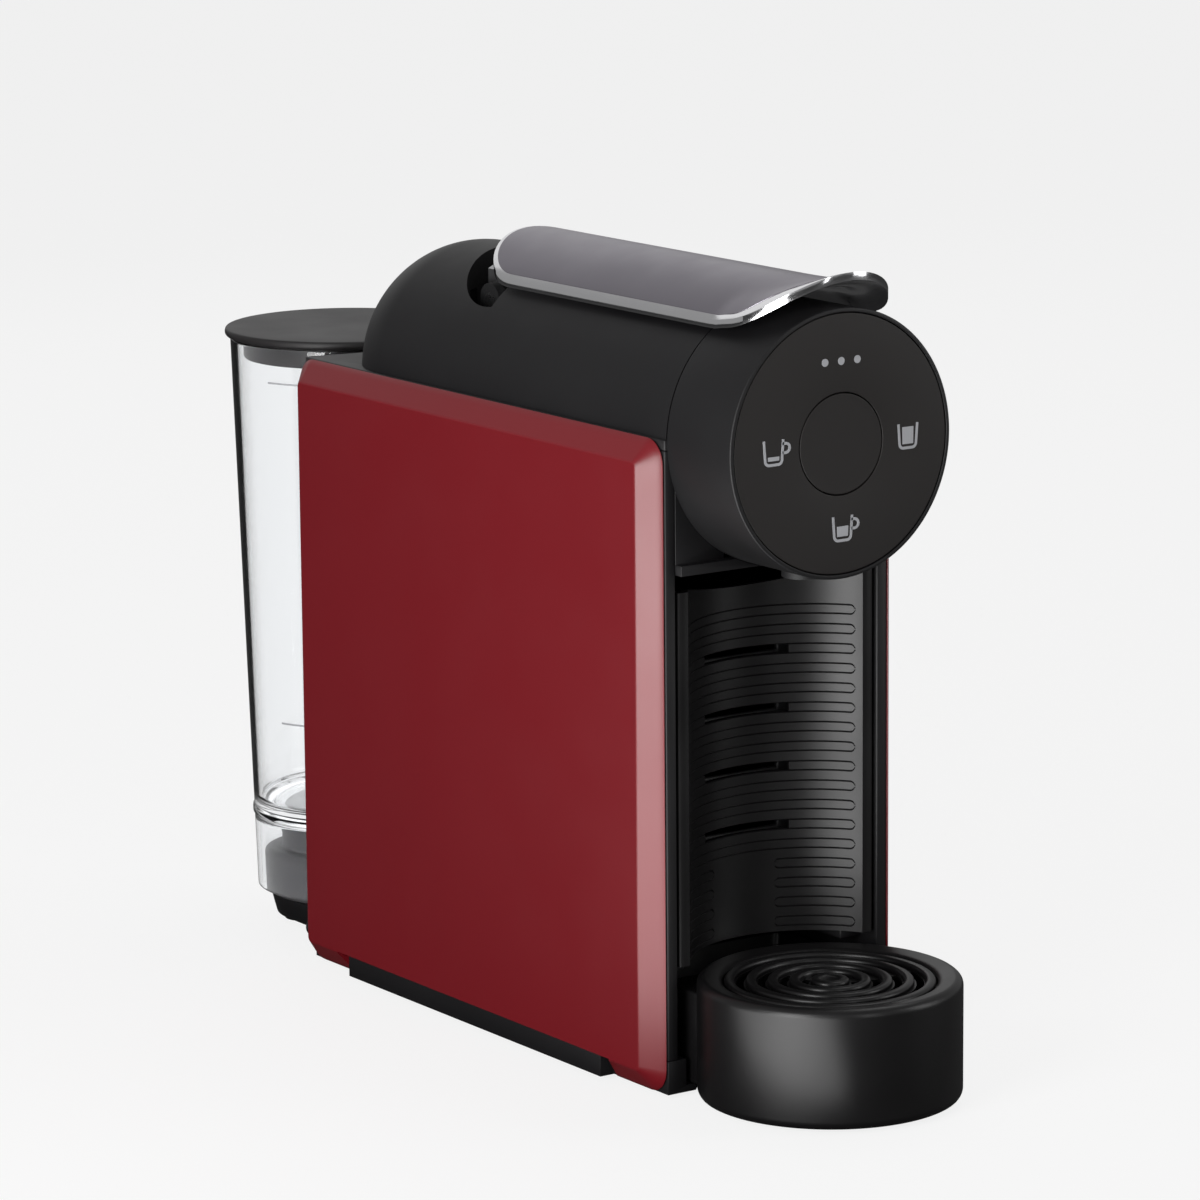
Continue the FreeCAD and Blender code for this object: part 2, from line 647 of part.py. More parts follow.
# ---- pump, flow meter and pipes at the back ----------------------------------------------------
pump_y = back_y - 40
pump_low = d.base_height + 8
sub_part("pump_mounts", group(*[round_bar("Z", 5, d.base_height - 8.1, pump_low, (x, pump_y + y))
                                for x in (-12, 12) for y in (-10, 10)]))
sub_part("pump_body", fuse(box((-17, 17), (pump_y - 15, pump_y + 15), (pump_low, pump_low + 40)),
                           round_bar("Z", 9, pump_low + 39, pump_low + 66, (0, pump_y))))
sub_part("pump_coil", tube("Z", 15, 9.1, pump_low + 40, pump_low + 60, (0, pump_y)))
meter_y = pump_y + 3
meter_low = pump_low + 84
sub_part("flow_meter", fuse(round_bar("Z", 12, meter_low, meter_low + 14, (0, meter_y)),
                            box((10, frame_in), (meter_y - 5, meter_y + 5), (meter_low + 3, meter_low + 9))))
sub_part("pump_outlet_pipe", round_bar("Z", d.hose_radius, pump_low + 66, meter_low, (0, pump_y)))
sub_part("boiler_pipe", round_bar("Z", d.hose_radius, meter_low + 14, boiler_z - 10, (0, pump_y - 4)))

# ---- tank dock, tank, valve and lid ------------------------------------------------------------
dock = fuse(round_bar("Z", d.dock_radius, d.platform_height, d.dock_step_height, (0, tank_y)),
            round_bar("Z", d.dock_top_radius, d.dock_step_height - 1, d.dock_top_height, (0, tank_y)))
dock_well = round_bar("Z", 10, d.dock_step_height - 6, d.dock_top_height + 1, (0, tank_y))
dock_bore = round_bar("Z", d.hose_radius + 0.1, d.base_floor, d.dock_step_height, (0, tank_y))
sub_part("tank_dock", cut(dock, dock_well, dock_bore))
tank_floor_low = d.tank_floor_height - 2.4
seal_top = tank_floor_low - 0.3
sub_part("dock_seal", tube("Z", 14, 10.5, d.dock_top_height, seal_top, (0, tank_y)))

wall = d.tank_wall
taper = (d.tank_radius - d.tank_foot_radius) / (d.tank_top - d.tank_bottom)
floor_radius = d.tank_foot_radius + taper * (d.tank_floor_height - d.tank_bottom)
under_floor_radius = d.tank_foot_radius + taper * (tank_floor_low - d.tank_bottom)
valve_bore = d.valve_radius + 1
tank_points = ((d.tank_foot_radius, d.tank_bottom), (d.tank_radius, d.tank_top),
               (d.tank_radius - wall, d.tank_top), (floor_radius - wall, d.tank_floor_height),
               (valve_bore, d.tank_floor_height), (valve_bore, tank_floor_low),
               (under_floor_radius - wall, tank_floor_low), (d.tank_foot_radius - wall, d.tank_bottom))
sub_part("water_tank", turned(tank_points, 0, tank_y))

lid_low = d.tank_top + 0.4
lid_top = lid_low + d.lid_thickness
lid_points = ((0, lid_low), (d.lid_radius - 1.2, lid_low), (d.lid_radius, lid_low + 1.1),
              (d.lid_radius, lid_top - 0.9), (d.lid_radius - 1.4, lid_top), (0, lid_top))
sub_part("tank_lid", turned(lid_points, 0, tank_y))
skirt = d.lid_skirt_radius
sub_part("lid_skirt", tube("Z", skirt, skirt - 2, lid_low - 7, lid_low, (0, tank_y)))

cage_low = d.tank_floor_height
cage = tube("Z", valve_bore + 3, valve_bore + 1, cage_low, cage_low + 12, (0, tank_y))
sub_part("valve_housing", cut(cage, box((-FAR, FAR), (tank_y - 2, tank_y + 2), (cage_low + 3, cage_low + 8))))
sub_part("valve_cap", cut(round_bar("Z", valve_bore + 3, cage_low + 12, cage_low + 14, (0, tank_y)),
                          round_bar("Z", 2, cage_low, cage_low + 20, (0, tank_y))))
valve_low = tank_floor_low + 0.4
sub_part("tank_valve", fuse(round_bar("Z", d.valve_radius, valve_low, cage_low + 2, (0, tank_y)),
                            round_bar("Z", 1.6, cage_low + 1, cage_low + 13, (0, tank_y)),
                            round_bar("Z", valve_bore + 0.6, cage_low + 0.3, cage_low + 2, (0, tank_y))))

riser_radius = d.hose_radius - 0.4
sub_part("inlet_hose", fuse(
    round_bar("Y", d.hose_radius, pump_y - d.hose_radius, tank_y + d.hose_radius, (0, hose_z)),
    round_bar("Z", riser_radius, hose_z, pump_low, (0, pump_y)),
    round_bar("Z", riser_radius, hose_z, d.dock_step_height - 6, (0, tank_y))))
gland_x = -(d.platform_radius + 5.5)
sub_part("cable_gland", fuse(round_bar("Y", 4.8, back_y, back_y + 7, (gland_x, 7.5)),
                             round_bar("Y", 3.4, back_y + 6, back_y + 14, (gland_x, 7.5))))

# ---- drawer: concave front with a capsule bin behind it ------------------------------------------
concave_y = front_y - d.concave_setback
drawer_half = frame_in - d.drawer_gap
front_block = box((-drawer_half, drawer_half), (front_y + 0.5, concave_y + d.concave_radius + d.drawer_wall),
                  (d.drawer_bottom, d.drawer_top))
hollow = round_bar("Z", d.concave_radius, d.drawer_bottom - 1, d.drawer_top + 1, (0, concave_y))
outer_skin = round_bar("Z", d.concave_radius + d.drawer_wall, d.drawer_bottom - 1, d.drawer_top + 1,
                       (0, concave_y))
flanges = [box(span(s, drawer_half - d.drawer_wall, drawer_half), (front_y + 0.5, front_y + 14),
               (d.drawer_bottom, d.drawer_top)) for s in sides()]
front_skin = cut(fuse(common(front_block, outer_skin), *flanges), hollow)
mouth = round_bar("Y", d.mouth_radius, concave_y, concave_y + d.concave_radius + d.drawer_wall + 1,
                  (0, d.drawer_top - d.mouth_dip + d.mouth_radius))
# The slots go on through the bin's front wall, which lies against the drawer front.
slots = [box((-d.slot_half_width, d.slot_half_width),
             (concave_y, concave_y + d.concave_radius + d.drawer_wall + 4),
             (d.drawer_top - 26 - index * 3 * d.rib_pitch - d.slot_height / 2,
              d.drawer_top - 26 - index * 3 * d.rib_pitch + d.slot_height / 2)) for index in range(4)]


def rib_groove(index):
    """One shallow moulded band round the concave front, at its height."""
    height = d.drawer_top - 13.6 - index * d.rib_pitch
    band = tube("Z", d.concave_radius + d.rib_depth, d.concave_radius - 1, height - d.rib_height / 2,
                height + d.rib_height / 2, (0, concave_y))
    return common(band, box((-33.5, 33.5), (concave_y, FAR), (0, FAR)))


rib_count = 17
centre_relief = box((-11.5, 11.5), (concave_y, FAR), (0, d.drawer_top - 13.6 - 12.5 * d.rib_pitch))
grooves = fuse(*[rib_groove(index) for index in range(rib_count) if index not in (2, 5, 8, 11)])
sub_part("drawer_front", cut(front_skin, cut(grooves, centre_relief), *slots, mouth))

bin_front = concave_y + d.concave_radius + d.drawer_wall
bin_back = bin_front + d.drawer_depth
bin_half = drawer_half - 3
bin_top = d.drawer_top - 12
bin_outer = box((-bin_half, bin_half), (bin_front, bin_back), (d.drawer_bottom, bin_top))
bin_inner = box((-bin_half + 2, bin_half - 2), (bin_front + 2, bin_back - 2),
                (d.drawer_bottom + 2, bin_top + 1))
sub_part("capsule_bin", cut(bin_outer, bin_inner, *slots))

sub_part("drawer_runners", group(*[
    box(span(s, bin_half - 4, frame_in), (front_y + 8, bin_back - 4),
        (d.drawer_bottom - 3.3, d.drawer_bottom - 0.3)) for s in sides()]))

# ---- drip tray and its grid ---------------------------------------------------------------------
tray_low = d.base_floor
tray_rim_low = d.tray_height - 1.4
ledge_radius = d.grid_radius + d.running_gap
tray_drum = cut(
    fuse(cone("Z", d.tray_radius - 1.2, d.tray_radius, tray_low, tray_low + 1.5, (0, tray_y)),
         round_bar("Z", d.tray_radius, tray_low + 1.5, tray_rim_low, (0, tray_y)),
         cone("Z", d.tray_radius, d.tray_radius - 1.4, tray_rim_low, d.tray_height, (0, tray_y))),
    round_bar("Z", ledge_radius, d.tray_height - d.grid_thickness - 1.2, d.tray_height + 1, (0, tray_y)),
    round_bar("Z", ledge_radius - 2.2, tray_low + d.tray_floor, d.tray_height, (0, tray_y)))
tail_half = notch_half - d.running_gap
tail_low = d.base_floor + 2.5
tail_outer = box((-tail_half, tail_half), (front_y - 8, tail_back), (tail_low, d.drawer_bottom - 8))
tail_cheeks = box((-tail_half, tail_half), (front_y - 8, front_y - 0.6), (tray_low, d.drawer_bottom - 8))
tail_well = box((-tail_half + 2.4, tail_half - 2.4), (front_y + 6, tail_back - 2.4),
                (tail_low + 2.4, d.drawer_bottom))
tail = cut(fuse(tail_outer, tail_cheeks), tail_well,
           round_bar("Z", d.tray_radius - 1, 0, FAR, (0, tray_y)))
sub_part("drip_tray", fuse(tray_drum, tail))

seat_gap = 0.3
grid_low = d.tray_height - d.grid_thickness - 1.2 + seat_gap
grid_top = grid_low + d.grid_thickness
ring_low = grid_low + 0.8


def grid_ring(index):
    outer = d.grid_radius - index * d.grid_ring_pitch
    return tube("Z", outer, outer - d.grid_ring_width, grid_low, grid_top, (0, tray_y))


bar_reach = d.grid_radius - 1
grid_bars = [box((-bar_reach, bar_reach), (tray_y - 1.5, tray_y + 1.5), (grid_low, ring_low)),
             box((-1.5, 1.5), (tray_y - bar_reach, tray_y + bar_reach), (grid_low, ring_low))]
grid_boss = round_bar("Z", 5, grid_low, grid_top, (0, tray_y))
sub_part("drip_grid", fuse(*[grid_ring(index) for index in range(4)], *grid_bars, grid_boss))

# ---- screws under the base ----------------------------------------------------------------------
sub_part("base_screws", group(*[round_bar("Z", 2, d.base_floor - 0.6, d.base_floor, (s * 20, y))
                                for s in sides() for y in (front_y + 70, back_y - 20)]))

# ---- recompute, check and write -------------------------------------------------------------------
doc.recompute()
broken = [item.Label for item in doc.Objects if {"Invalid", "Error"} & set(item.State)]
if broken:
    raise RuntimeError(f"features that failed: {broken}")
for label, item in NODES.items():
    if item.Shape.isNull() or not item.Shape.isValid() or not item.Shape.Solids:
        raise RuntimeError(f"{label} has no valid solid")

os.makedirs("parts", exist_ok=True)
for label, item in NODES.items():
    item.Shape.exportStep(f"parts/{label}.step")
    limits = item.Shape.BoundBox
    print(f"{label:22s} solids {len(item.Shape.Solids)}  volume {item.Shape.Volume:10.0f}  "
          f"z {limits.ZMin:7.1f} {limits.ZMax:7.1f}  y {limits.YMin:7.1f} {limits.YMax:7.1f}")
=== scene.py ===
import math

import bmesh
import bpy
from mathutils import Matrix, Vector


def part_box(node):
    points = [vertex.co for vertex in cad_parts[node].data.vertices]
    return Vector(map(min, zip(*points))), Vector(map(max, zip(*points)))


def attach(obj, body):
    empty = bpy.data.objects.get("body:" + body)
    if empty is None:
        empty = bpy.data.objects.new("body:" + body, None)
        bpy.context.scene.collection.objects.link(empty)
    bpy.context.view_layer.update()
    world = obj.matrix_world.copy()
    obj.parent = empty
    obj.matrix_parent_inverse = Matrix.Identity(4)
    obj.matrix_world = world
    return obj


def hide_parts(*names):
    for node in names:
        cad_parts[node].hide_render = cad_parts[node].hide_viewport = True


bl_info = {
    "name": "Pod coffee machine",
    "version": (1, 0, 0),
    "blender": (4, 5, 0),
    "location": "View3D > Sidebar > Coffee",
    "description": "Builds the finished surfaces of a slim pod coffee machine round its CAD frame",
    "category": "Object",
}

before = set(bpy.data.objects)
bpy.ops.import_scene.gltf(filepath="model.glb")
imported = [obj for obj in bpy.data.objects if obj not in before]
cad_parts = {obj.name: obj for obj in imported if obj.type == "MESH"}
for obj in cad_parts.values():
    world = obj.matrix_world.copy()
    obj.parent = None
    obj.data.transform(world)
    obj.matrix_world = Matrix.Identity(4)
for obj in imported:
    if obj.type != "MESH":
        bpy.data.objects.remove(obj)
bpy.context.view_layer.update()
MM = 0.001


# ---- colour, nodes and mesh tools ----
def linear(hex_code):
    """An sRGB hex colour as linear red, green and blue."""
    channels = [int(hex_code[i:i + 2], 16) / 255 for i in (0, 2, 4)]
    return [c / 12.92 if c <= 0.04045 else ((c + 0.055) / 1.055) ** 2.4 for c in channels]


def add_node(tree, kind, sockets=None, **settings):
    """Add a node, set its settings, and give its input sockets a value or a link."""
    made = tree.nodes.new(kind)
    for name, value in settings.items():
        setattr(made, name, value)
    for name, value in (sockets or {}).items():
        if isinstance(value, bpy.types.NodeSocket):
            tree.links.new(value, made.inputs[name])
        else:
            made.inputs[name].default_value = value
    return made


def math_node(tree, operation, *values):
    """The outcome of one sum on values or sockets."""
    return add_node(tree, "ShaderNodeMath", dict(enumerate(values)), operation=operation).outputs[0]


def low_high(node):
    """The lowest and highest corner of a CAD node, in millimetres."""
    low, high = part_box(node)
    return low / MM, high / MM


def linked(name, data):
    """A new object in the scene."""
    made = bpy.data.objects.new(name, data)
    bpy.context.scene.collection.objects.link(made)
    return made


def mesh_piece(name, points, faces, sharp=35):
    """A closed mesh object from points in millimetres, smooth except across sharp edges.
    Without a sharp angle, its corners stay unmerged and its faces flat."""
    mesh = bpy.data.meshes.new(name)
    mesh.from_pydata([Vector(p) * MM for p in points], [], faces)
    work = bmesh.new()
    work.from_mesh(mesh)
    if sharp:
        bmesh.ops.remove_doubles(work, verts=work.verts, dist=1e-7)
        bmesh.ops.dissolve_degenerate(work, dist=1e-7, edges=work.edges)
    bmesh.ops.recalc_face_normals(work, faces=work.faces)
    work.to_mesh(mesh)
    work.free()
    piece = linked(name, mesh)
    return smooth(piece, sharp) if sharp else piece


def smooth(piece, sharp=35):
    """Shade the piece smooth, except across edges sharper than an angle in degrees."""
    mesh = piece.data
    mesh.polygons.foreach_set("use_smooth", [True] * len(mesh.polygons))
    mesh.set_sharp_from_angle(angle=math.radians(sharp))
    return piece


def settle(piece):
    """Turn the piece's modifiers into its plain mesh."""
    bpy.context.view_layer.update()
    graph = bpy.context.evaluated_depsgraph_get()
    mesh = bpy.data.meshes.new_from_object(piece.evaluated_get(graph))
    piece.modifiers.clear()
    old = piece.data
    piece.data = mesh
    bpy.data.meshes.remove(old)
    return piece


def soften(piece, width, segments=2, angle=40):
    """Round the piece's hard edges by a width in millimetres."""
    bevel = piece.modifiers.new("edges", "BEVEL")
    bevel.width = width * MM
    bevel.segments = segments
    bevel.limit_method = "ANGLE"
    bevel.angle_limit = math.radians(angle)
    bevel.use_clamp_overlap = True
    bevel.miter_outer = "MITER_ARC"
    settle(piece)
    return smooth(piece, 50)


def cut_by(piece, *cutters):
    """Cut closed solids out of the piece, and remove them."""
    for cutter in cutters:
        boolean = piece.modifiers.new("cut", "BOOLEAN")
        boolean.object = cutter
        boolean.solver = "EXACT"
    settle(piece)
    for cutter in cutters:
        bpy.data.objects.remove(cutter)
    return piece


def arc(centre, radius, start, end, steps=6):
    """Points along an arc, with its angles in degrees."""
    angles = [math.radians(start + (end - start) * i / steps) for i in range(steps + 1)]
    return [(centre[0] + radius * math.cos(a), centre[1] + radius * math.sin(a)) for a in angles]


def rectangle(x1, x2, y1, y2):
    """The four corners of an upright rectangle, in order."""
    return (x1, y1), (x2, y1), (x2, y2), (x1, y2)


def filleted(corners, steps=5):
    """An outline with rounded corners.  Each corner is (a, b) or (a, b, fillet length)."""
    line = []
    count = len(corners)
    for index, corner in enumerate(corners):
        here = Vector(corner[:2])
        size = corner[2] if len(corner) > 2 else 0
        if not size:
            line.append(tuple(here))
            continue
        before = Vector(corners[index - 1][:2]) - here
        after = Vector(corners[(index + 1) % count][:2]) - here
        start = here + before.normalized() * min(size, before.length * 0.49)
        end = here + after.normalized() * min(size, after.length * 0.49)
        for step in range(steps + 1):
            t = step / steps
            line.append(tuple((1 - t) ** 2 * start + 2 * t * (1 - t) * here + t * t * end))
    return line


def turned(name, outline, centre, axis="Z", steps=160, sharp=35):
    """A turned piece: a closed outline of (radius, height) swept about an axis through centre."""
    points, faces, rings = [], [], []
    for radius, height in outline:
        ring = []
        for step in range(steps if radius > 1e-6 else 1):
            angle = 2 * math.pi * step / steps
            a, b = radius * math.cos(angle), radius * math.sin(angle)
            spot = (a, b, height) if axis == "Z" else (a, height, b)
            ring.append(len(points))
            points.append(Vector(spot) + Vector(centre))
        rings.append(ring)
    for ring, following in zip(rings, rings[1:] + rings[:1]):
        if len(ring) == 1 and len(following) == 1:
            continue
        for step in range(steps):
            after = (step + 1) % steps
            corners = [ring[step % len(ring)], ring[after % len(ring)],
                       following[after % len(following)], following[step % len(following)]]
            faces.append(list(dict.fromkeys(corners)))
    return mesh_piece(name, points, faces, sharp)


def slab(name, top, under, kept=None, sharp=35):
    """A closed slab between two grids of points.  Cells that aren't kept are holes with walls."""
    rows, columns = len(top), len(top[0])
    points = [p for row in top for p in row] + [p for row in under for p in row]
    offset = rows * columns

    def there(row, column):
        if not (0 <= row < rows - 1 and 0 <= column < columns - 1):
            return False
        return kept is None or kept(row, column)

    faces = []
    for row in range(rows - 1):
        for column in range(columns - 1):
            if not there(row, column):
                continue
            a = row * columns + column
            b, c, e = a + 1, a + columns + 1, a + columns
            faces.append((a, b, c, e))
            faces.append((offset + e, offset + c, offset + b, offset + a))
            for (first, second), (r, k) in (((a, b), (row - 1, column)), ((b, c), (row, column + 1)),
                                            ((c, e), (row + 1, column)), ((e, a), (row, column - 1))):
                if not there(r, k):
                    faces.append((first, offset + first, offset + second, second))
    return mesh_piece(name, points, faces, sharp)


def prism(name, outline, axis, low, high):
    """A straight piece with a closed outline.  The outline lies in the two other axes, in order."""
    order = {"X": (2, 0, 1), "Y": (0, 2, 1), "Z": (0, 1, 2)}[axis]
    points = []
    for height in (low, high):
        for a, b in outline:
            raw = (a, b, height)
            points.append(tuple(raw[i] for i in order))
    count = len(outline)
    faces = [list(range(count)), list(range(2 * count - 1, count - 1, -1))]
    for index in range(count):
        after = (index + 1) % count
        faces.append((index, index + count, after + count, after))
    return mesh_piece(name, points, faces)


def finished_copy(name, node, edge):
    """A copy of a CAD node with merged facets and edges softened by a width in millimetres."""
    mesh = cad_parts[node].data.copy()
    mesh.name = name
    work = bmesh.new()
    work.from_mesh(mesh)
    bmesh.ops.remove_doubles(work, verts=work.verts, dist=1e-6)
    bmesh.ops.dissolve_limit(work, angle_limit=math.radians(1), verts=work.verts, edges=work.edges,
                             delimit={"NORMAL"})
    work.to_mesh(mesh)
    work.free()
    return soften(smooth(linked(name, mesh)), edge)


def place(piece, body, slot, look, *nodes):
    """Give a finished piece its material and body, and hide the CAD nodes that it stands for. The slot
    argument is not used.
    """
    piece.data.materials.clear()
    piece.data.materials.append(material(look))
    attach(piece, body)
    if nodes:
        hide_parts(*nodes)
    return piece


# ---- materials ----
def new_material(name):
    """A material with its shader, output and object coordinates."""
    made = bpy.data.materials.new(name)
    made.use_nodes = True
    tree = made.node_tree
    tree.nodes.clear()
    shader = add_node(tree, "ShaderNodeBsdfPrincipled")
    add_node(tree, "ShaderNodeOutputMaterial", {"Surface": shader.outputs["BSDF"]})
    where = add_node(tree, "ShaderNodeTexCoord").outputs["Object"]
    return made, tree, shader, where


def set_sockets(shader, **values):
    """Set a shader's own sockets, named with underscores for spaces."""
    for name, value in values.items():
        shader.inputs[name.replace("_", " ")].default_value = value


def noise(tree, where, size_mm, detail=2.0):
    """A cloud with patches of a real size."""
    return add_node(tree, "ShaderNodeTexNoise", {
        "Vector": where, "Scale": 1 / (size_mm * MM), "Detail": detail}).outputs["Fac"]


def bump(tree, shader, height, depth_mm, strength=1.0):
    """Raise and sink the surface by a real depth."""
    relief = add_node(tree, "ShaderNodeBump", {
        "Height": height, "Distance": depth_mm * MM, "Strength": strength})
    tree.links.new(relief.outputs["Normal"], shader.inputs["Normal"])


def vary(tree, shader, where, low, high, size_mm):
    """Let the roughness drift slowly between two values."""
    span = add_node(tree, "ShaderNodeMapRange", {
        "Value": noise(tree, where, size_mm, 3.0), "From Min": 0.3, "From Max": 0.7,
        "To Min": low, "To Max": high})
    tree.links.new(span.outputs["Result"], shader.inputs["Roughness"])


def tint(tree, shader, where, colour, lighter, size_mm):
    """Let the colour drift between two close shades."""
    second = [min(1.0, c * lighter) for c in colour]
    mix = add_node(tree, "ShaderNodeMix", {
        "Factor": noise(tree, where, size_mm), "A": (*colour, 1), "B": (*second, 1)}, data_type="RGBA")
    tree.links.new(mix.outputs["Result"], shader.inputs["Base Color"])


def surface(name, colour, lighter, patch_mm, roughness, drift_mm, grain_mm, depth_mm, **sockets):
    """A material whose colour and roughness drift a little under a fine even grain."""
    made, tree, shader, where = new_material(name)
    tint(tree, shader, where, colour, lighter, patch_mm)
    vary(tree, shader, where, *roughness, drift_mm)
    set_sockets(shader, **sockets)
    bump(tree, shader, noise(tree, where, grain_mm), depth_mm)
    return made


def lacquered_abs(colour):
    """Moulded ABS under a satin lacquer: a deep even red with a soft gloss, rippled about 1.5 mm
    across and a few microns deep."""
    return surface("lacquered_red_abs", colour, 1.06, 60, (0.36, 0.41), 25, 1.5, 0.004,
                   IOR=1.5, Coat_Weight=0.08, Coat_Roughness=0.34)


def moulded_abs(name, colour, rough, grain_mm=0.45, depth_mm=0.02):
    """Matt moulded ABS from a spark-eroded tool: near black, fine-grained, with a broad soft sheen.
    The real grain of about 0.1 mm is drawn coarser so that it shows."""
    return surface(name, colour, 1.25, 40, (rough - 0.04, rough + 0.04), 30, grain_mm, depth_mm,
                   IOR=1.5, Specular_IOR_Level=0.38)


def polished_clear():
    """Clear polished copolyester: almost no colour, bright edges and thin dark rims."""
    made, tree, shader, where = new_material("clear_tank_copolyester")
    vary(tree, shader, where, 0.015, 0.04, 40)
    set_sockets(shader, IOR=1.45, Transmission_Weight=1.0, Base_Color=(*linear("F7F8F9"), 1))
    return made


def plated_chrome():
    """Bright chrome plating on ABS: mirror reflections with faint smears from handling."""
    made, tree, shader, where = new_material("plated_chrome")
    vary(tree, shader, where, 0.1, 0.16, 14)
    set_sockets(shader, Metallic=1.0, Base_Color=(*linear("E4E4E6"), 1))
    return made


def anodised_plate(colour):
    """Satin anodised aluminium sheet: a soft metal sheen drawn out along the brushing direction."""
    made, tree, shader, where = new_material("anodised_lever_plate")
    # Brush lines run the length of the plate, about 0.25 mm apart.
    lines = add_node(tree, "ShaderNodeMapping", {"Vector": where, "Scale": (4000, 60, 400)})
    brushed = add_node(tree, "ShaderNodeTexNoise", {
        "Vector": lines.outputs["Vector"], "Scale": 1.0, "Detail": 2.0})
    bump(tree, shader, brushed.outputs["Fac"], 0.004, 0.5)
    tint(tree, shader, where, colour, 1.1, 50)
    vary(tree, shader, where, 0.36, 0.44, 20)
    set_sockets(shader, Metallic=1.0)
    return made


def bare_metal(name, hex_code, rough, grain_mm):
    """Bare or coated metal of the inner works: cast, drawn or wound, with a fine uneven surface."""
    return surface(name, linear(hex_code), 1.15, 8, (rough - 0.06, rough + 0.06), 6, grain_mm, 0.03,
                   Metallic=1.0)


def soft_rubber(name, hex_code, rough=0.75):
    """Moulded rubber or silicone: dull, with a powdery fine grain."""
    return surface(name, linear(hex_code), 1.2, 10, (rough - 0.05, rough + 0.05), 8, 0.5, 0.03, IOR=1.45)


def printed_ink(colour):
    """Pad-printed ink: light grey, flat and slightly chalky."""
    return surface("printed_grey_ink", colour, 1.08, 3, (0.5, 0.6), 2, 0.3, 0.01)


MATERIALS = {}


def material(name):
    """The material of that name, made on first use from the user's colours."""
    if name in MATERIALS:
        return MATERIALS[name]
    colours = bpy.context.scene.coffee_colours
    makers = {
        "red": lambda: lacquered_abs(list(colours.panels)),
        "shell": lambda: moulded_abs("matt_black_abs", list(colours.shell), 0.52),
        "face": lambda: moulded_abs("face_black_abs", list(colours.face), 0.55, 0.35, 0.008),
        "satin": lambda: moulded_abs("satin_black_abs", list(colours.tray), 0.36, 0.9, 0.006),
        "lid": lambda: moulded_abs("lid_black_abs", list(colours.lid), 0.5),
        "inner": lambda: moulded_abs("dark_polypropylene", linear("101011"), 0.6, 0.6),
        "dock": lambda: moulded_abs("grey_polypropylene", list(colours.dock), 0.45, 0.6),
        "chrome": plated_chrome,
        "plate": lambda: anodised_plate(list(colours.lever)),
        "clear": polished_clear,
        "ink": lambda: printed_ink(list(colours.symbols)),
        "steel": lambda: bare_metal("bright_steel", "A8A8AA", 0.3, 0.4),
        "casting": lambda: bare_metal("cast_aluminium", "B4B4B6", 0.5, 0.7),
        "pump": lambda: bare_metal("black_coated_steel", "3A3A3C", 0.45, 0.5),
        "copper": lambda: bare_metal("enamelled_copper_winding", "A86238", 0.35, 0.3),
        "board": lambda: moulded_abs("coated_circuit_board", linear("1E5430"), 0.35, 1.2),
        "silicone": lambda: soft_rubber("silicone_hose", "D2CEC4", 0.5),
        "rubber": lambda: soft_rubber("black_rubber", "141415"),
    }
    MATERIALS[name] = makers[name]()
    return MATERIALS[name]


# ---- sizes and colours a user would change ----
def length(name, description, millimetres):
    return bpy.props.FloatProperty(name=name, description=description, default=millimetres * MM,
                                   unit="LENGTH", precision=4)


def colour(name, description, hex_code):
    return bpy.props.FloatVectorProperty(name=name, description=description, subtype="COLOR", size=3,
                                         min=0, max=1, default=linear(hex_code))


class CoffeeSizes(bpy.types.PropertyGroup):
    bevel_width: length("Bevel width", "Width of the panel bevel seen from the side", 7.0)
    panel_corner: length("Panel corner", "Radius of a panel's outer corners", 8.0)
    rib_groove: length("Rib groove", "Depth of the grooves round the drawer's ribs", 0.35)
    rim_width: length("Face rim", "Width of the rim round the face", 1.3)
    lever_wall: length("Lever wall", "Thickness of the lever's shell", 2.6)
    lip_width: length("Lever lip", "Length of the chrome lip ahead of the lever's plate", 10.0)
    ring_pitch: length("Grille pitch", "Distance between the rings of the grille", 6.6)
    ring_count: bpy.props.IntProperty(name="Grille rings", description="Rings in the grille", default=4,
                                      min=1)


class CoffeeColours(bpy.types.PropertyGroup):
    panels: colour("Panels", "Lacquer of the side panels", "730F19")
    shell: colour("Shell", "Matt black of head, frame and base", "0C0B0D")
    face: colour("Face", "Warm black of the round face", "1A1716")
    tray: colour("Tray", "Satin black of tray and drawer front", "0C0B0C")
    lid: colour("Lid", "Matt black of the tank lid", "1F1D1E")
    dock: colour("Dock", "Grey of the tank's dock", "454446")
    lever: colour("Lever plate", "Dark grey of the lever's plate", "8C8890")
    symbols: colour("Symbols", "Ink of the symbols and marks", "A9AAAE")


# ---- side panels ----
def rounded_ring(x, low_y, high_y, low_z, high_z, radius, steps=8):
    """A rounded rectangle at an x, as a ring of points."""
    ring = []
    corners = ((high_y, high_z, 0), (low_y, high_z, 90), (low_y, low_z, 180), (high_y, low_z, 270))
    for y, z, turn in corners:
        centre_y = y - math.copysign(radius, math.cos(math.radians(turn + 45)))
        centre_z = z - math.copysign(radius, math.sin(math.radians(turn + 45)))
        ring += [(x, *spot) for spot in arc((centre_y, centre_z), radius, turn, turn + 90, steps)]
    return ring


def ring_stack(name, rings, sharp=35):
    """A closed skin through a stack of equal rings, capped at both ends."""
    count = len(rings[0])
    points = [p for ring in rings for p in ring]
    faces = [list(range(count)), list(range(len(points) - 1, len(points) - count - 1, -1))]
    for level in range(len(rings) - 1):
        for step in range(count):
            a = level * count + step
            b = level * count + (step + 1) % count
            faces.append((a, b, b + count, a + count))
    return mesh_piece(name, points, faces, sharp)


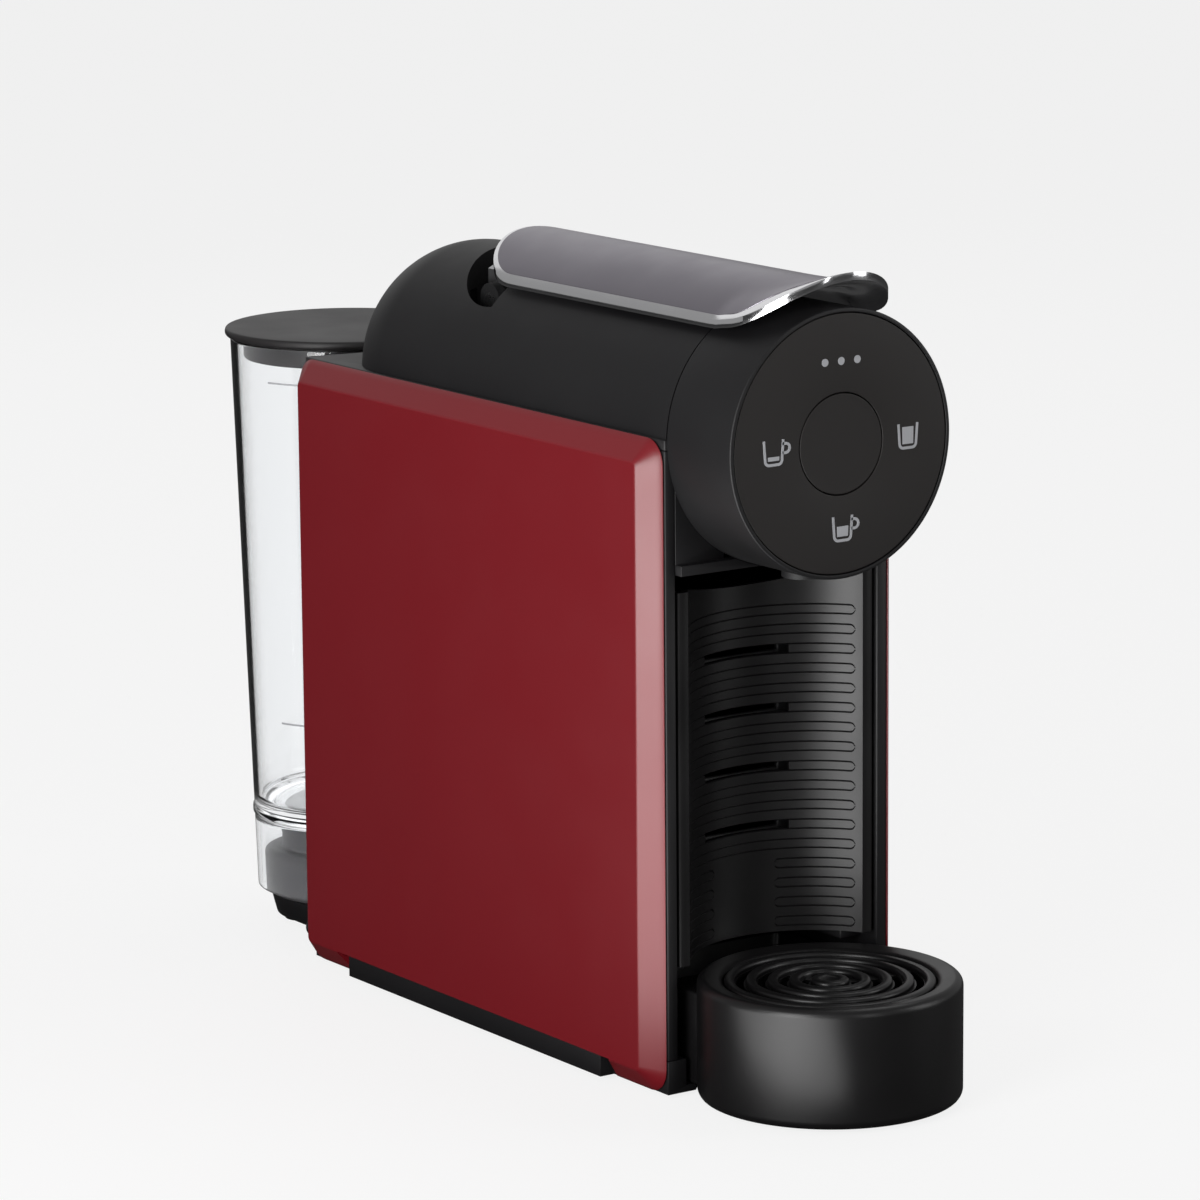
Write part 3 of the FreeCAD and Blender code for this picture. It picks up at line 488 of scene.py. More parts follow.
class COFFEE_OT_panels(bpy.types.Operator):
    """Build the two bevelled red side panels"""
    bl_idname = "coffee.panels"
    bl_label = "Side panels"

    def execute(self, context):
        sizes = context.scene.coffee_sizes
        slope, corner = sizes.bevel_width / MM, sizes.panel_corner / MM
        wall, lip = 2.4, 0.6
        # The bevel is straight up to this share of the panel's thickness, then rolls over.
        turn = 0.94
        # Height of the rail's gap, its distance from the panel's front and back, and its splay.
        rail, rail_front, rail_back, splay = 8.8, 29, 31, 6
        # Share of the thickness and inset: the hollow back, the lip, the bevel and the soft edge.
        profile = [(0.55, wall + slope * 0.75), (0.0, wall), (0.0, lip), (0.06, 0.12), (0.12, 0.35)]
        profile += [(0.12 + (turn - 0.12) * t / 4, 0.35 + (slope * turn - 0.35) * t / 4)
                    for t in range(1, 5)]
        for t in (0.2, 0.4, 0.6, 0.8, 1.0):
            share = (1 - t) ** 2 * turn + 2 * t * (1 - t)
            profile.append((share + t * t, slope * (share + t * t * 1.08)))
        for side, node in ((-1, "left_panel"), (1, "right_panel")):
            low, high = low_high(node)
            inner_x, outer_x = (high.x, low.x) if side < 0 else (low.x, high.x)
            rings = [rounded_ring(inner_x + (outer_x - inner_x) * share, low.y + inset, high.y - inset,
                                  low.z + inset, high.z - inset, max(corner - inset * 0.9, 1.2))
                     for share, inset in profile]
            panel = ring_stack(node.replace("panel", "bevelled_panel"), rings, 50)
            front, back = low.y + rail_front, high.y - rail_back
            gap = prism("rail_gap", ((front, -5), (back, -5), (back + splay, rail), (front - splay, rail)),
                        "X", low.x - 2, high.x + 2)
            cut_by(panel, gap)
            place(smooth(panel, 50), "root", "red_panel", "red", node)
        return {"FINISHED"}


# ---- head ----
class COFFEE_OT_head(bpy.types.Operator):
    """Build the upper housing and the collar behind the face"""
    bl_idname = "coffee.head"
    bl_label = "Head"

    def execute(self, context):
        low, high = low_high("front_collar")
        centre = (0, 0, (low.z + high.z) / 2)
        radius = (high.x - low.x) / 2
        deck = low_high("top_deck")[1].z
        pin_low, pin_high = low_high("lever_pin")
        hinge_y, hinge_z = (pin_low.y + pin_high.y) / 2, (pin_low.z + pin_high.z) / 2
        dome_start, dome, wall = hinge_y + 39.7, 37.7, 2.4
        # The pocket behind the lever, and the height that all cuts from above start from.
        floor_z, pocket_y, pocket_radius, above = hinge_z - 12, hinge_y - 6.1, 30.6, 262
        # The capsule's way in, and the slots for the lever's two arms.
        way_half, way_front, way_back = 19.5, -73, -43
        arm_inner, arm_outer, arm_reach = 15.3, 20.3, 20.5

        def form(name, size, length, start):
            curve = [(size * math.cos(math.radians(a)), dome_start + length * math.sin(math.radians(a)))
                     for a in range(0, 91, 3)]
            outline = [(0, start)] + filleted(((size, start, 0.4), curve[1]))[:-1] + curve
            return turned(name, outline, centre, "Y", 256, 30)

        def pocket_shape(name, size, front, start):
            reach = math.degrees(math.asin((pocket_y - front) / size))
            return prism(name, arc((0, pocket_y), size, -reach, 180 + reach, 60), "Z", start, above)

        housing = form("head_housing", radius, dome, high.y + 0.15)
        inside = form("head_inside", radius - wall, dome - wall, high.y - 2)
        # The inside form loses the pocket's mass, so the housing keeps a floor and walls round it.
        cut_by(inside, pocket_shape("pocket_mass", pocket_radius + 1.6, hinge_y - 12.1, floor_z - 1.6))
        cut_by(housing, inside)
        slot = prism("capsule_way", rectangle(-way_half, way_half, way_front, way_back), "Z",
                     centre[2] + 10, above)
        # A block wider and longer than the machine takes off all that lies below the deck.
        below = prism("below_deck", rectangle(-90, 90, -200, 200), "Z", 100, deck)
        ways = [prism("arm_way", rectangle(side * arm_inner, side * arm_outer, hinge_y - arm_reach,
                                           hinge_y + arm_reach), "Z", deck - 1, hinge_z + 1)
                for side in (-1, 1)]
        pocket = pocket_shape("lever_pocket", pocket_radius, hinge_y - 10.5, floor_z)
        cut_by(housing, pocket, slot, below, *ways)
        place(smooth(housing, 30), "root", "black_shell", "shell", "upper_housing")
        rim = radius - context.scene.coffee_sizes.rim_width / MM
        outline = filleted((
            (radius - wall, high.y), (radius, high.y, 0.25), (radius, low.y + 0.1, 0.5),
            (rim, low.y, 0.3), (rim, low.y + 3.3), (radius - wall, low.y + 3.3)))
        collar = turned("head_collar", outline, centre, "Y", 192)
        spout_y = low_high("coffee_collector")[0].y + 8
        spout_radius = 7
        cut_by(collar, turned("spout_hole", rectangle(0, spout_radius, low.z - 3, low.z + 6),
                              (0, spout_y, 0), "Z", 48))
        place(smooth(collar), "root", "black_shell", "shell", "front_collar")
        return {"FINISHED"}


# ---- face, button and symbols ----
def stroke(points, width):
    """A flat line of even width through points in the face plane, as outline quads."""
    line = [Vector(p) for p in points]
    edges = []
    for index, here in enumerate(line):
        before = line[max(index - 1, 0)]
        after = line[min(index + 1, len(line) - 1)]
        along = ((here - before).normalized() + (after - here).normalized()).normalized()
        across = Vector((-along.y, along.x))
        # The line keeps its width round a corner, but the corner reaches out no further than twice it.
        straight = (after - here) if after != here else (here - before)
        normal = Vector((-straight.y, straight.x)).normalized()
        reach = width / 2 / max(0.5, abs(across.dot(normal)))
        edges.append((here + across * reach, here - across * reach))
    return [(left, next_left, next_right, right)
            for (left, right), (next_left, next_right) in zip(edges, edges[1:])]


def cup_outline(width, height, corner=1.4, flare=0.45):
    """The open cup shape: down one side, along the bottom and up the other."""
    half, low = width / 2, -height / 2
    return [(-half - flare, -low), (-half, low + corner),
            *arc((-half + corner, low + corner), corner, 180, 270),
            *arc((half - corner, low + corner), corner, 270, 360),
            (half, low + corner), (half + flare, -low)]


def symbol_quads(kind, at):
    """The strokes of one symbol: a small cup, a larger cup or a glass."""
    width = 0.85
    quads = stroke(cup_outline(6.2, 7.4), width)
    fill_top = {"short": -1.3, "long": 0.6, "glass": 2.7}[kind]
    quads.append(tuple(Vector(p) for p in ((-2.0, -2.5), (2.0, -2.5), (2.1, fill_top), (-2.1, fill_top))))
    if kind != "glass":
        handle = [(3.2, 2.4), (4.4, 2.4), *arc((4.5, 1.0), 1.4, 90, -90), (4.4, -0.4), (3.2, -0.4)]
        quads += stroke(handle, width)
    return [tuple(p + Vector(at) for p in quad) for quad in quads]


def flat_marks(name, quads, middle, face_y, thickness=0.12):
    """Printed marks: thin raised shapes from outlines in the face plane, about a height."""
    points, faces = [], []
    for quad in quads:
        start, count = len(points), len(quad)
        for y in (face_y, face_y + thickness):
            points += [(p.x, y, middle + p.y) for p in quad]
        faces.append([start + i for i in range(count)])
        faces.append([start + count + i for i in reversed(range(count))])
        faces += [(start + i, start + i + count, start + (i + 1) % count + count, start + (i + 1) % count)
                  for i in range(count)]
    return mesh_piece(name, points, faces, None)


class COFFEE_OT_face(bpy.types.Operator):
    """Build the face plate, the centre button, the three symbols and the dots"""
    bl_idname = "coffee.face"
    bl_label = "Face"

    def execute(self, context):
        low, high = low_high("face_plate")
        middle = (low.z + high.z) / 2
        centre = (0, 0, middle)
        radius = (high.x - low.x) / 2
        button_low, button_high = low_high("centre_button")
        button_radius = (button_high.x - button_low.x) / 2
        hole = button_radius + 0.4
        y = low.y
        plate = turned("face_disc", filleted((
            (hole, y + 3), (hole, y + 0.25, 0.25), (radius, y + 0.25, 0.4), (radius, y + 3))),
            centre, "Y", 192)
        place(plate, "root", "face_black", "face", "face_plate")
        # The button is very slightly dished, so it catches the light apart from the plate.
        dish = [(button_radius * t / 6, y + 0.35 - 0.1 * (t / 6) ** 2) for t in range(6)]
        button = turned("round_button", dish + filleted((
            (button_radius, y + 0.22, 0.35), (button_radius, button_high.y), (4, button_high.y),
            (4, y + 3), (0, y + 3))), centre, "Y", 160)
        place(button, "button", "face_black", "face", "centre_button")
        mark_y = y + 0.16
        # Each symbol's place in the face plane, from the middle of the button.
        for kind, at in (("short", (-25, 0)), ("long", (0.5, -25.5)), ("glass", (25, 0))):
            mark = flat_marks("symbol_" + kind, symbol_quads(kind, at), middle, mark_y)
            place(mark, "root", "dock_grey", "ink")
        dots = [[Vector(p) for p in arc((x, 25), 1.2, 0, 345, 23)] for x in (-6, 0, 6)]
        place(flat_marks("three_dots", dots, middle, mark_y), "root", "dock_grey", "ink")
        return {"FINISHED"}


# ---- lever ----
class LeverForm:
    """The crowned form of the lever: its plan, its top and its lifted front lip."""

    def __init__(self):
        low, high = low_high("lever_shell")
        plate_low, plate_high = low_high("lever_top_plate")
        self.half = (high.x - low.x) / 2
        self.back = high.y - self.half
        self.front = low.y + self.half
        self.crown = plate_high.z
        self.lift = high.z - plate_high.z
        # Radius of the crown across, and how far the lip's rise reaches in from its edge.
        self.arc, self.lip = 36.1, 15.0

    def top(self, x, y):
        """Height of the top surface at a place in plan."""
        crown = self.crown - self.arc + math.sqrt(self.arc ** 2 - x ** 2)
        # The lip starts this far behind the rounded front end.
        lead = 6
        if y >= self.front + lead:
            return crown
        # It rises towards the front edge and fades out towards the sides.
        reach = math.hypot(x, min(0, y - self.front))
        ahead = max(0.0, min(1.0, (self.front + lead - y) / (self.half + lead)))
        edge = max(0.0, 1 - (self.half - reach) / self.lip)
        rise = edge * edge * (3 - 2 * edge)
        # A quarter of the lip's lift is even across it, and the rest is at its edge.
        return crown + self.lift * min(1.0, 0.25 * ahead + 0.75 * rise) * ahead ** 0.7

    def plan(self, half, back_reach, front_reach, across=32, caps=18, along=40):
        """Rows of plan places: a straight middle with a rounded back and front end."""
        # The turns stop just short of a right angle, so that the end rows keep a width.
        turns = [math.radians(89.5 * step / caps) for step in range(caps + 1)]
        rows = [(self.back + back_reach * math.sin(a), half * math.cos(a)) for a in reversed(turns)]
        rows += [(self.back + (self.front - self.back) * step / along, half) for step in range(1, along)]
        rows += [(self.front - front_reach * math.sin(a), half * math.cos(a)) for a in turns]
        shares = [math.sin(math.radians(-90 + 180 * k / across)) for k in range(across + 1)]
        return [[(width * share, y) for share in shares] for y, width in rows]

    def skin(self, plan, drop):
        """The plan's places at the top's height, less a drop."""
        return [[(x, y, self.top(x, y) - drop) for x, y in row] for row in plan]


class COFFEE_OT_lever(bpy.types.Operator):
    """Build the chrome lever with its inlaid plate"""
    bl_idname = "coffee.lever"
    bl_label = "Lever"

    def execute(self, context):
        sizes = context.scene.coffee_sizes
        form = LeverForm()
        reach = form.half - 0.3
        plan = form.plan(reach, reach, reach)
        under = form.skin(plan, sizes.lever_wall / MM)
        shell = slab("chrome_lever", form.skin(plan, 0.15), under, sharp=50)
        soften(shell, 0.7, 3, 50)
        place(shell, "lever", "chrome_trim", "chrome", "lever_shell")
        inset = form.half - 1.7
        plan = form.plan(inset, inset, form.half - sizes.lip_width / MM)
        plate = slab("lever_plate", form.skin(plan, 0.0), form.skin(plan, 0.8), sharp=50)
        soften(plate, 0.2, 2, 50)
        place(plate, "lever", "lever_metal", "plate", "lever_top_plate")
        return {"FINISHED"}


# ---- drawer front ----
class COFFEE_OT_drawer(bpy.types.Operator):
    """Build the concave drawer front with its outlined ribs and slots, and the bin"""
    bl_idname = "coffee.drawer"
    bl_label = "Drawer"

    def execute(self, context):
        low, high = low_high("drawer_front")
        groove = context.scene.coffee_sizes.rib_groove / MM
        radius, wall = 38.3, 2.0
        # Ribs: their spacing, half height and line width, how many, and the first split and slotted ones.
        pitch, rib_half, line, rib_rows, split_row, slot_rows = 6.2, 1.45, 0.28, 17, 13, (2, 5, 8, 11)
        first_rib = high.z - 13.6
        mouth_dip, mouth_half = 5.0, 31
        front, half = low.y, high.x
        centre_y = high.y - 2.4 - radius
        edge_x = math.sqrt(radius ** 2 - (centre_y - front) ** 2) - 0.6
        # Places round the hollow are lengths of arc from its middle.
        edge = radius * math.asin(edge_x / radius)
        rib_end, split_end, slot_end = edge - 1.6, 11.8, radius * math.asin(16 / radius)

        def rib_height(row, s):
            """Half the height of a rib outline at a place round the hollow."""
            near = split_end if row >= split_row else -rib_end
            reach = min(rib_end - abs(s), abs(s) - near)
            if reach <= 0:
                return 0.0
            return math.sqrt(rib_half ** 2 - (rib_half - min(reach, rib_half)) ** 2)

        def on_arc(s, size):
            return size * math.sin(s / radius), centre_y + size * math.cos(s / radius)

        # Places lie close together where the rib outlines turn.
        turns = [rib_half * (1 - math.cos(math.radians(a))) for a in range(0, 91, 18)]
        spots = {0.0, edge, rib_end + line, slot_end, split_end - line, edge - 0.5}
        spots |= {round(s, 3) for turn in turns for s in (rib_end - turn, split_end + turn)}
        spots |= {edge * k / 34 for k in range(35)}
        spots = sorted(spots | {-s for s in spots})
        kept_spots = [spots[0]]
        for s in spots[1:]:
            if s - kept_spots[-1] > 0.12:
                kept_spots.append(s)
        flange = [(-half, front + 14), (-half, front + 1.0), (-half + 0.3, front + 0.3),
                  (-half + 1.0, front), (-edge_x - 1.4, front), (-edge_x - 0.5, front + 0.15)]
        plan = [(x, y, None) for x, y in flange] + [(*on_arc(s, radius), s) for s in kept_spots]
        plan += [(-x, y, None) for x, y in reversed(flange)]

        # Rows of a height, then the side of the rib, the offset across its line and whether it is sunk.
        rows = [(0, first_rib + pitch / 2, 0, 0, False)]
        for row in range(rib_rows):
            z = first_rib - row * pitch
            rows += [(row, z, sign, offset, not offset) for sign in (1, -1) for offset in (line, 0, -line)]
            rows.append((row, z - pitch / 2, 0, 0, False))

        def rib_point(x, y, s, row, z, sign, offset, sunk):
            """The point where a row crosses a place round the hollow."""
            height = rib_height(row, s) if sign and s is not None else 0
            if not height:
                return x, y, z + sign * 0.3 + 0.2 * offset * abs(sign)
            z += sign * max(0.02 * (3 + offset) if sign > 0 else 0.02, height + sign * offset)
            return (*on_arc(s, radius + groove), z) if sunk else (x, y, z)

        def back_point(x, y, s, z):
            """The point behind, on the far side of the wall."""
            if s is not None:
                return (*on_arc(s, radius + wall), z)
            inward = -math.copysign(wall, x) if abs(x) > half - 0.5 else 0
            return x + inward, y if y > front + 2 else y + wall, z

        top = []
        for share in (1, 0.5):
            # The top edge dips in the middle.
            top.append([(x, y, rows[0][1] + share * (
                high.z - mouth_dip * max(0.0, 1 - (x / mouth_half) ** 2) - rows[0][1]))
                for x, y, s in plan])
        top += [[rib_point(*spot, *row) for spot in plan] for row in rows]
        top.append([(x, y, low.z) for x, y, s in plan])
        under = [[back_point(*spot, point[2]) for spot, point in zip(plan, points)] for points in top]
        # Each rib takes up seven rows of cells after the first three, and a slot fills its rib's inside.
        slot_cells = {3 + row * 7 + step for row in slot_rows for step in (1, 2, 3)}

        def kept(row, column):
            s, following = plan[column][2], plan[column + 1][2]
            if s is None or following is None or row not in slot_cells:
                return True
            return not (s >= -slot_end - 0.01 and following <= slot_end + 0.01)

        front_piece = slab("ribbed_drawer_front", top, under, kept, 30)
        place(front_piece, "drawer", "satin_black", "satin", "drawer_front")
        place(finished_copy("used_capsule_bin", "capsule_bin", 0.6), "drawer", "dark_inner", "inner",
              "capsule_bin")
        return {"FINISHED"}


# ---- tray and grille ----
def grille_tree():
    """Geometry nodes for concentric rings of one section, for a count, an outer radius and a pitch."""
    tree = bpy.data.node_groups.new("Grille rings", "GeometryNodeTree")
    for name, kind in (("Geometry", "Geometry"), ("Rings", "Int"), ("Outer radius", "Float"),
                       ("Pitch", "Float"), ("Bead width", "Float"), ("Bead height", "Float"),
                       ("Height", "Float"), ("Material", "Material")):
        tree.interface.new_socket(name, in_out="INPUT", socket_type="NodeSocket" + kind)
    tree.interface.new_socket("Geometry", in_out="OUTPUT", socket_type="NodeSocketGeometry")
    given = add_node(tree, "NodeGroupInput").outputs
    index = add_node(tree, "GeometryNodeInputIndex").outputs["Index"]
    ring_radius = math_node(tree, "SUBTRACT", given["Outer radius"],
                            math_node(tree, "MULTIPLY", index, given["Pitch"]))
    scale = add_node(tree, "ShaderNodeCombineXYZ", {"X": ring_radius, "Y": ring_radius, "Z": 1.0})
    spots = add_node(tree, "GeometryNodePoints", {"Count": given["Rings"], "Position": (0, 0, 0)})
    circle = add_node(tree, "GeometryNodeCurvePrimitiveCircle", {"Resolution": 128, "Radius": 1.0})
    rings = add_node(tree, "GeometryNodeInstanceOnPoints", {
        "Points": spots.outputs[0], "Instance": circle.outputs["Curve"], "Scale": scale.outputs[0]})
    real = add_node(tree, "GeometryNodeRealizeInstances", {"Geometry": rings.outputs[0]})
    section = add_node(tree, "GeometryNodeCurvePrimitiveQuadrilateral", {
        "Width": given["Bead width"], "Height": given["Bead height"]})
    soft_section = add_node(tree, "GeometryNodeFilletCurve", {
        "Curve": section.outputs[0], "Radius": math_node(tree, "MULTIPLY", given["Bead height"], 0.35),
        "Count": 3}, mode="POLY")
    beads = add_node(tree, "GeometryNodeCurveToMesh", {
        "Curve": real.outputs[0], "Profile Curve": soft_section.outputs[0]})
    lifted = add_node(tree, "ShaderNodeCombineXYZ", {"Z": given["Height"]})
    moved = add_node(tree, "GeometryNodeTransform", {
        "Geometry": beads.outputs[0], "Translation": lifted.outputs[0]})
    both = add_node(tree, "GeometryNodeJoinGeometry", {"Geometry": moved.outputs[0]})
    tree.links.new(given["Geometry"], both.inputs["Geometry"])
    last = add_node(tree, "GeometryNodeRealizeInstances", {"Geometry": both.outputs[0]})
    painted = add_node(tree, "GeometryNodeSetMaterial", {
        "Geometry": last.outputs[0], "Material": given["Material"]})
    add_node(tree, "NodeGroupOutput", {"Geometry": painted.outputs[0]})
    return tree


def run_tree(piece, tree, **values):
    """Run a geometry tree on a piece with its named inputs, and keep the plain mesh."""
    modifier = piece.modifiers.new("pattern", "NODES")
    modifier.node_group = tree
    identifiers = {item.name.replace(" ", "_"): item.identifier for item in tree.interface.items_tree
                   if item.item_type == "SOCKET" and item.in_out == "INPUT"}
    for name, value in values.items():
        modifier[identifiers[name]] = value
    return settle(piece)


class COFFEE_OT_tray(bpy.types.Operator):
    """Build the round drip tray, its tail and its grille of rings"""
    bl_idname = "coffee.tray"
    bl_label = "Drip tray"

    def execute(self, context):
        sizes = context.scene.coffee_sizes
        low, high = low_high("drip_tray")
        grid_low, grid_high = low_high("drip_grid")
        radius, top, back = high.x, high.z, high.y
        centre = (0, low.y + radius, 0)
        seat, well = grid_low.z - 0.3, grid_high.x + 0.4
        drum = turned("tray_drum", filleted((
            (0, low.z), (radius - 1.0, low.z, 0.8), (radius, low.z + 1.6, 1.0), (radius, top - 1.5, 1.4),
            (radius - 1.8, top, 0.9), (well + 1.2, top - 0.9, 1.0), (well, top - 2.0, 0.6), (well, seat),
            (well - 2.2, seat, 0.5), (well - 2.2, low.z + 3, 2.0), (0, low.z + 3))), centre, "Z", 192)
        place(drum, "tray", "satin_black", "satin", "drip_tray")
        half, wall, tail_low, tail_top = 32.9, 2.4, low.z + 2.5, 33
        front, well_front = low_high("base")[0].y - 8, -94.5
        tail = prism("tray_tail", filleted((
            (-half, front), (half, front), (half, back, 2), (-half, back, 2))), "Z", tail_low, tail_top)
        inner = half - wall
        tail_well = prism("tail_well", filleted((
            (-inner, well_front, 2), (inner, well_front, 2), (inner, back - wall, 3),
            (-inner, back - wall, 3))), "Z", tail_low + wall, 40)
        drum_cut = turned("drum_cut", rectangle(0, radius - 0.6, 0, 50), centre, "Z", 96)
        cut_by(tail, tail_well, drum_cut)
        place(soften(tail, 0.5), "tray", "satin_black", "satin")
        grid_radius = grid_high.x
        height = grid_high.z - grid_low.z
        floor_low, floor_top, floor_edge = grid_low.z + 0.2, grid_low.z + 1.1, grid_radius - 0.3
        floor = turned("ring_grille", filleted((
            (0, floor_low), (floor_edge, floor_low), (floor_edge, floor_top), (0, floor_top))),
            (0, 0, 0), "Z", 96)
        # Ring gaps are cut right through the thin floor, leaving four bridges.
        gap, least = 2.4, 4
        cutters = []
        for index in range(sizes.ring_count):
            outer = grid_radius - 3.6 - index * sizes.ring_pitch / MM
            inner = outer - gap
            if inner < least:
                break
            for quarter in range(4):
                start, end = quarter * 90 + 8 + 5 * index, quarter * 90 + 82 - 5 * index
                outline = arc((0, 0), outer, start, end, 20) + arc((0, 0), inner, end, start, 20)
                cutters.append(prism("ring_gap", outline, "Z", grid_low.z - 2, grid_low.z + 3))
        cut_by(floor, *cutters)
        run_tree(floor, grille_tree(), Rings=sizes.ring_count + 1,
                 Outer_radius=(grid_radius - 1.6) * MM, Pitch=sizes.ring_pitch, Bead_width=3.2 * MM,
                 Bead_height=height * MM, Height=(grid_low.z + height / 2) * MM,
                 Material=material("satin"))
        floor.data.transform(Matrix.Translation(Vector(centre) * MM))
        place(smooth(floor), "grid", "satin_black", "satin", "drip_grid")
        dish = [(3.6 * t / 5, grid_high.z - 1.1 + 0.9 * (t / 5) ** 2) for t in range(6)]
        boss = turned("grille_boss", dish + filleted((
            (4.6, grid_high.z, 0.5), (4.6, grid_low.z), (0, grid_low.z))), centre, "Z", 64)
        place(boss, "grid", "satin_black", "satin")
        return {"FINISHED"}


# ---- tank, lid and dock ----
class COFFEE_OT_tank(bpy.types.Operator):
    """Build the clear tank, its level lines, its lid and its dock"""
    bl_idname = "coffee.tank"
    bl_label = "Tank"

    def execute(self, context):
        low, high = low_high("water_tank")
        lid_low, lid_high = low_high("tank_lid")
        centre_y = (lid_low.y + lid_high.y) / 2
        centre = (0, centre_y, 0)
        floor = low_high("valve_housing")[0].z
        top_radius, foot_radius, wall = (high.x - low.x) / 2, 32.7, 2.0
        taper = (top_radius - foot_radius) / (high.z - low.z)

        def wall_at(z):
            return foot_radius + taper * (z - low.z)

        outer = wall_at(floor)
        inner = outer - wall
        # Up the outside past the bead at the floor, down the inside, and under the floor to the foot.
        tank = turned("clear_tank", filleted((
            (foot_radius, low.z, 0.5), (wall_at(floor - 3.4), floor - 3.4, 0.4),
            (wall_at(floor - 3) + 0.5, floor - 3, 0.3), (wall_at(floor - 1) + 0.5, floor - 1, 0.3),
            (outer, floor, 0.3), (top_radius, high.z, 0.6), (top_radius - wall, high.z, 0.6),
            (inner, floor + 1, 3.0), (inner - 6, floor, 1.5), (6, floor), (6, floor - 2.4),
            (inner - 5, floor - 2.4, 1.5), (inner, floor - 4.5, 1.5), (foot_radius - wall, low.z, 0.5))),
            centre, "Z", 192)
        place(tank, "tank", "clear_tank", "clear", "water_tank")
        for name, z in (("full_level_line", 191), ("low_level_line", 74)):
            radius = wall_at(z) + 0.05
            top = [[(*spot, z + 0.3) for spot in arc((0, centre_y), r, 196, 228, 24)]
                   for r in (radius, radius + 0.1)]
            under = [[(x, y, z - 0.3) for x, y, _ in row] for row in top]
            place(slab(name, top, under), "tank", "dock_grey", "ink")
        radius = lid_high.x
        lid = turned("flat_lid", filleted((
            (0, lid_high.z - 0.25), (radius - 3, lid_high.z, 2.0), (radius - 0.4, lid_high.z - 0.1, 0.6),
            (radius, lid_high.z - 1.0, 0.8), (radius, lid_low.z + 0.9, 0.8), (radius - 0.9, lid_low.z, 0.7),
            (0, lid_low.z))), centre, "Z", 192)
        place(lid, "lid", "black_shell", "lid", "tank_lid")
        skirt_low, skirt_high = low_high("lid_skirt")
        skirt = skirt_high.x
        ring = turned("lid_ring", filleted((
            (skirt - 2, skirt_low.z, 0.4), (skirt, skirt_low.z, 0.4), (skirt, skirt_high.z),
            (skirt - 2, skirt_high.z))), centre, "Z", 160)
        place(ring, "lid", "black_shell", "lid", "lid_skirt")
        dock_low, dock_high = low_high("tank_dock")
        step_radius, step_z, bore, socket_z = 23.7, 27.0, 3.1, dock_high.z - 14
        dock = turned("stepped_dock", filleted((
            (dock_high.x - 0.6, dock_low.z, 0.6), (dock_high.x, step_z, 2.6),
            (step_radius + 0.4, step_z, 1.0), (step_radius, dock_high.z, 1.2), (10, dock_high.z, 0.6),
            (10, socket_z), (bore, socket_z), (bore, dock_low.z))), centre, "Z", 160)
        place(dock, "root", "dock_grey", "dock", "tank_dock")
        return {"FINISHED"}


# ---- frame, base and small outer pieces ----
class COFFEE_OT_body(bpy.types.Operator):
    """Finish the frames, neck, deck, rear cover, base, feet and gland"""
    bl_idname = "coffee.body"
    bl_label = "Body"

    def execute(self, context):
        edges = {"left_frame": 0.5, "right_frame": 0.5, "neck_frame": 0.4, "top_deck": 0.5,
                 "rear_cover": 0.5, "base": 0.6, "drawer_runners": 0.4}
        for node, edge in edges.items():
            place(finished_copy(node + "_finished", node, edge), "root", "black_shell", "shell", node)
        for name, node, edge in (("rubber_feet", "feet", 0.4), ("rubber_gland", "cable_gland", 0.5)):
            place(finished_copy(name, node, edge), "root", "soft_rubber", "rubber", node)
        return {"FINISHED"}


class COFFEE_OT_works(bpy.types.Operator):
    """Give the inner works their materials"""
    bl_idname = "coffee.works"
    bl_label = "Inner works"

    def execute(self, context):
        by_material = {
            "inner": ("brew_rails", "capsule_chute", "coffee_collector", "extraction_carriage",
                      "button_switch", "lever_cradle", "valve_housing", "valve_cap", "tank_valve",
                      "flow_meter"),
            "steel": ("lever_cheeks", "lever_pin", "extraction_plate", "base_screws", "injection_head"),
            "casting": ("boiler",),
            "pump": ("pump_body",),
            "copper": ("pump_coil",),
            "board": ("control_board",),
            "silicone": ("pump_outlet_pipe", "boiler_pipe", "inlet_hose"),
            "rubber": ("dock_seal", "pump_mounts"),
        }
        for name, nodes in by_material.items():
            for node in nodes:
                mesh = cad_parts[node].data
                mesh.materials.clear()
                mesh.materials.append(material(name))
        return {"FINISHED"}


# ---- stage ----
def softbox(name, at, aim, size, power):
    """A soft area light at a place, turned to an aim, unseen by the camera."""
    light = bpy.data.lights.new(name, "AREA")
    light.shape = "RECTANGLE"
    light.size, light.size_y = size
    light.energy = power
    lamp = linked(name, light)
    lamp.location = at
    lamp.rotation_euler = (Vector(aim) - Vector(at)).to_track_quat("-Z", "Y").to_euler()
    lamp.visible_camera = False
    return lamp


def direct_view(tree):
    """One for rays straight from the camera or through the clear tank, else nought."""
    path = add_node(tree, "ShaderNodeLightPath").outputs
    through = math_node(tree, "GREATER_THAN", path["Transmission Depth"], 0.5)
    return math_node(tree, "MAXIMUM", path["Is Camera Ray"], through)


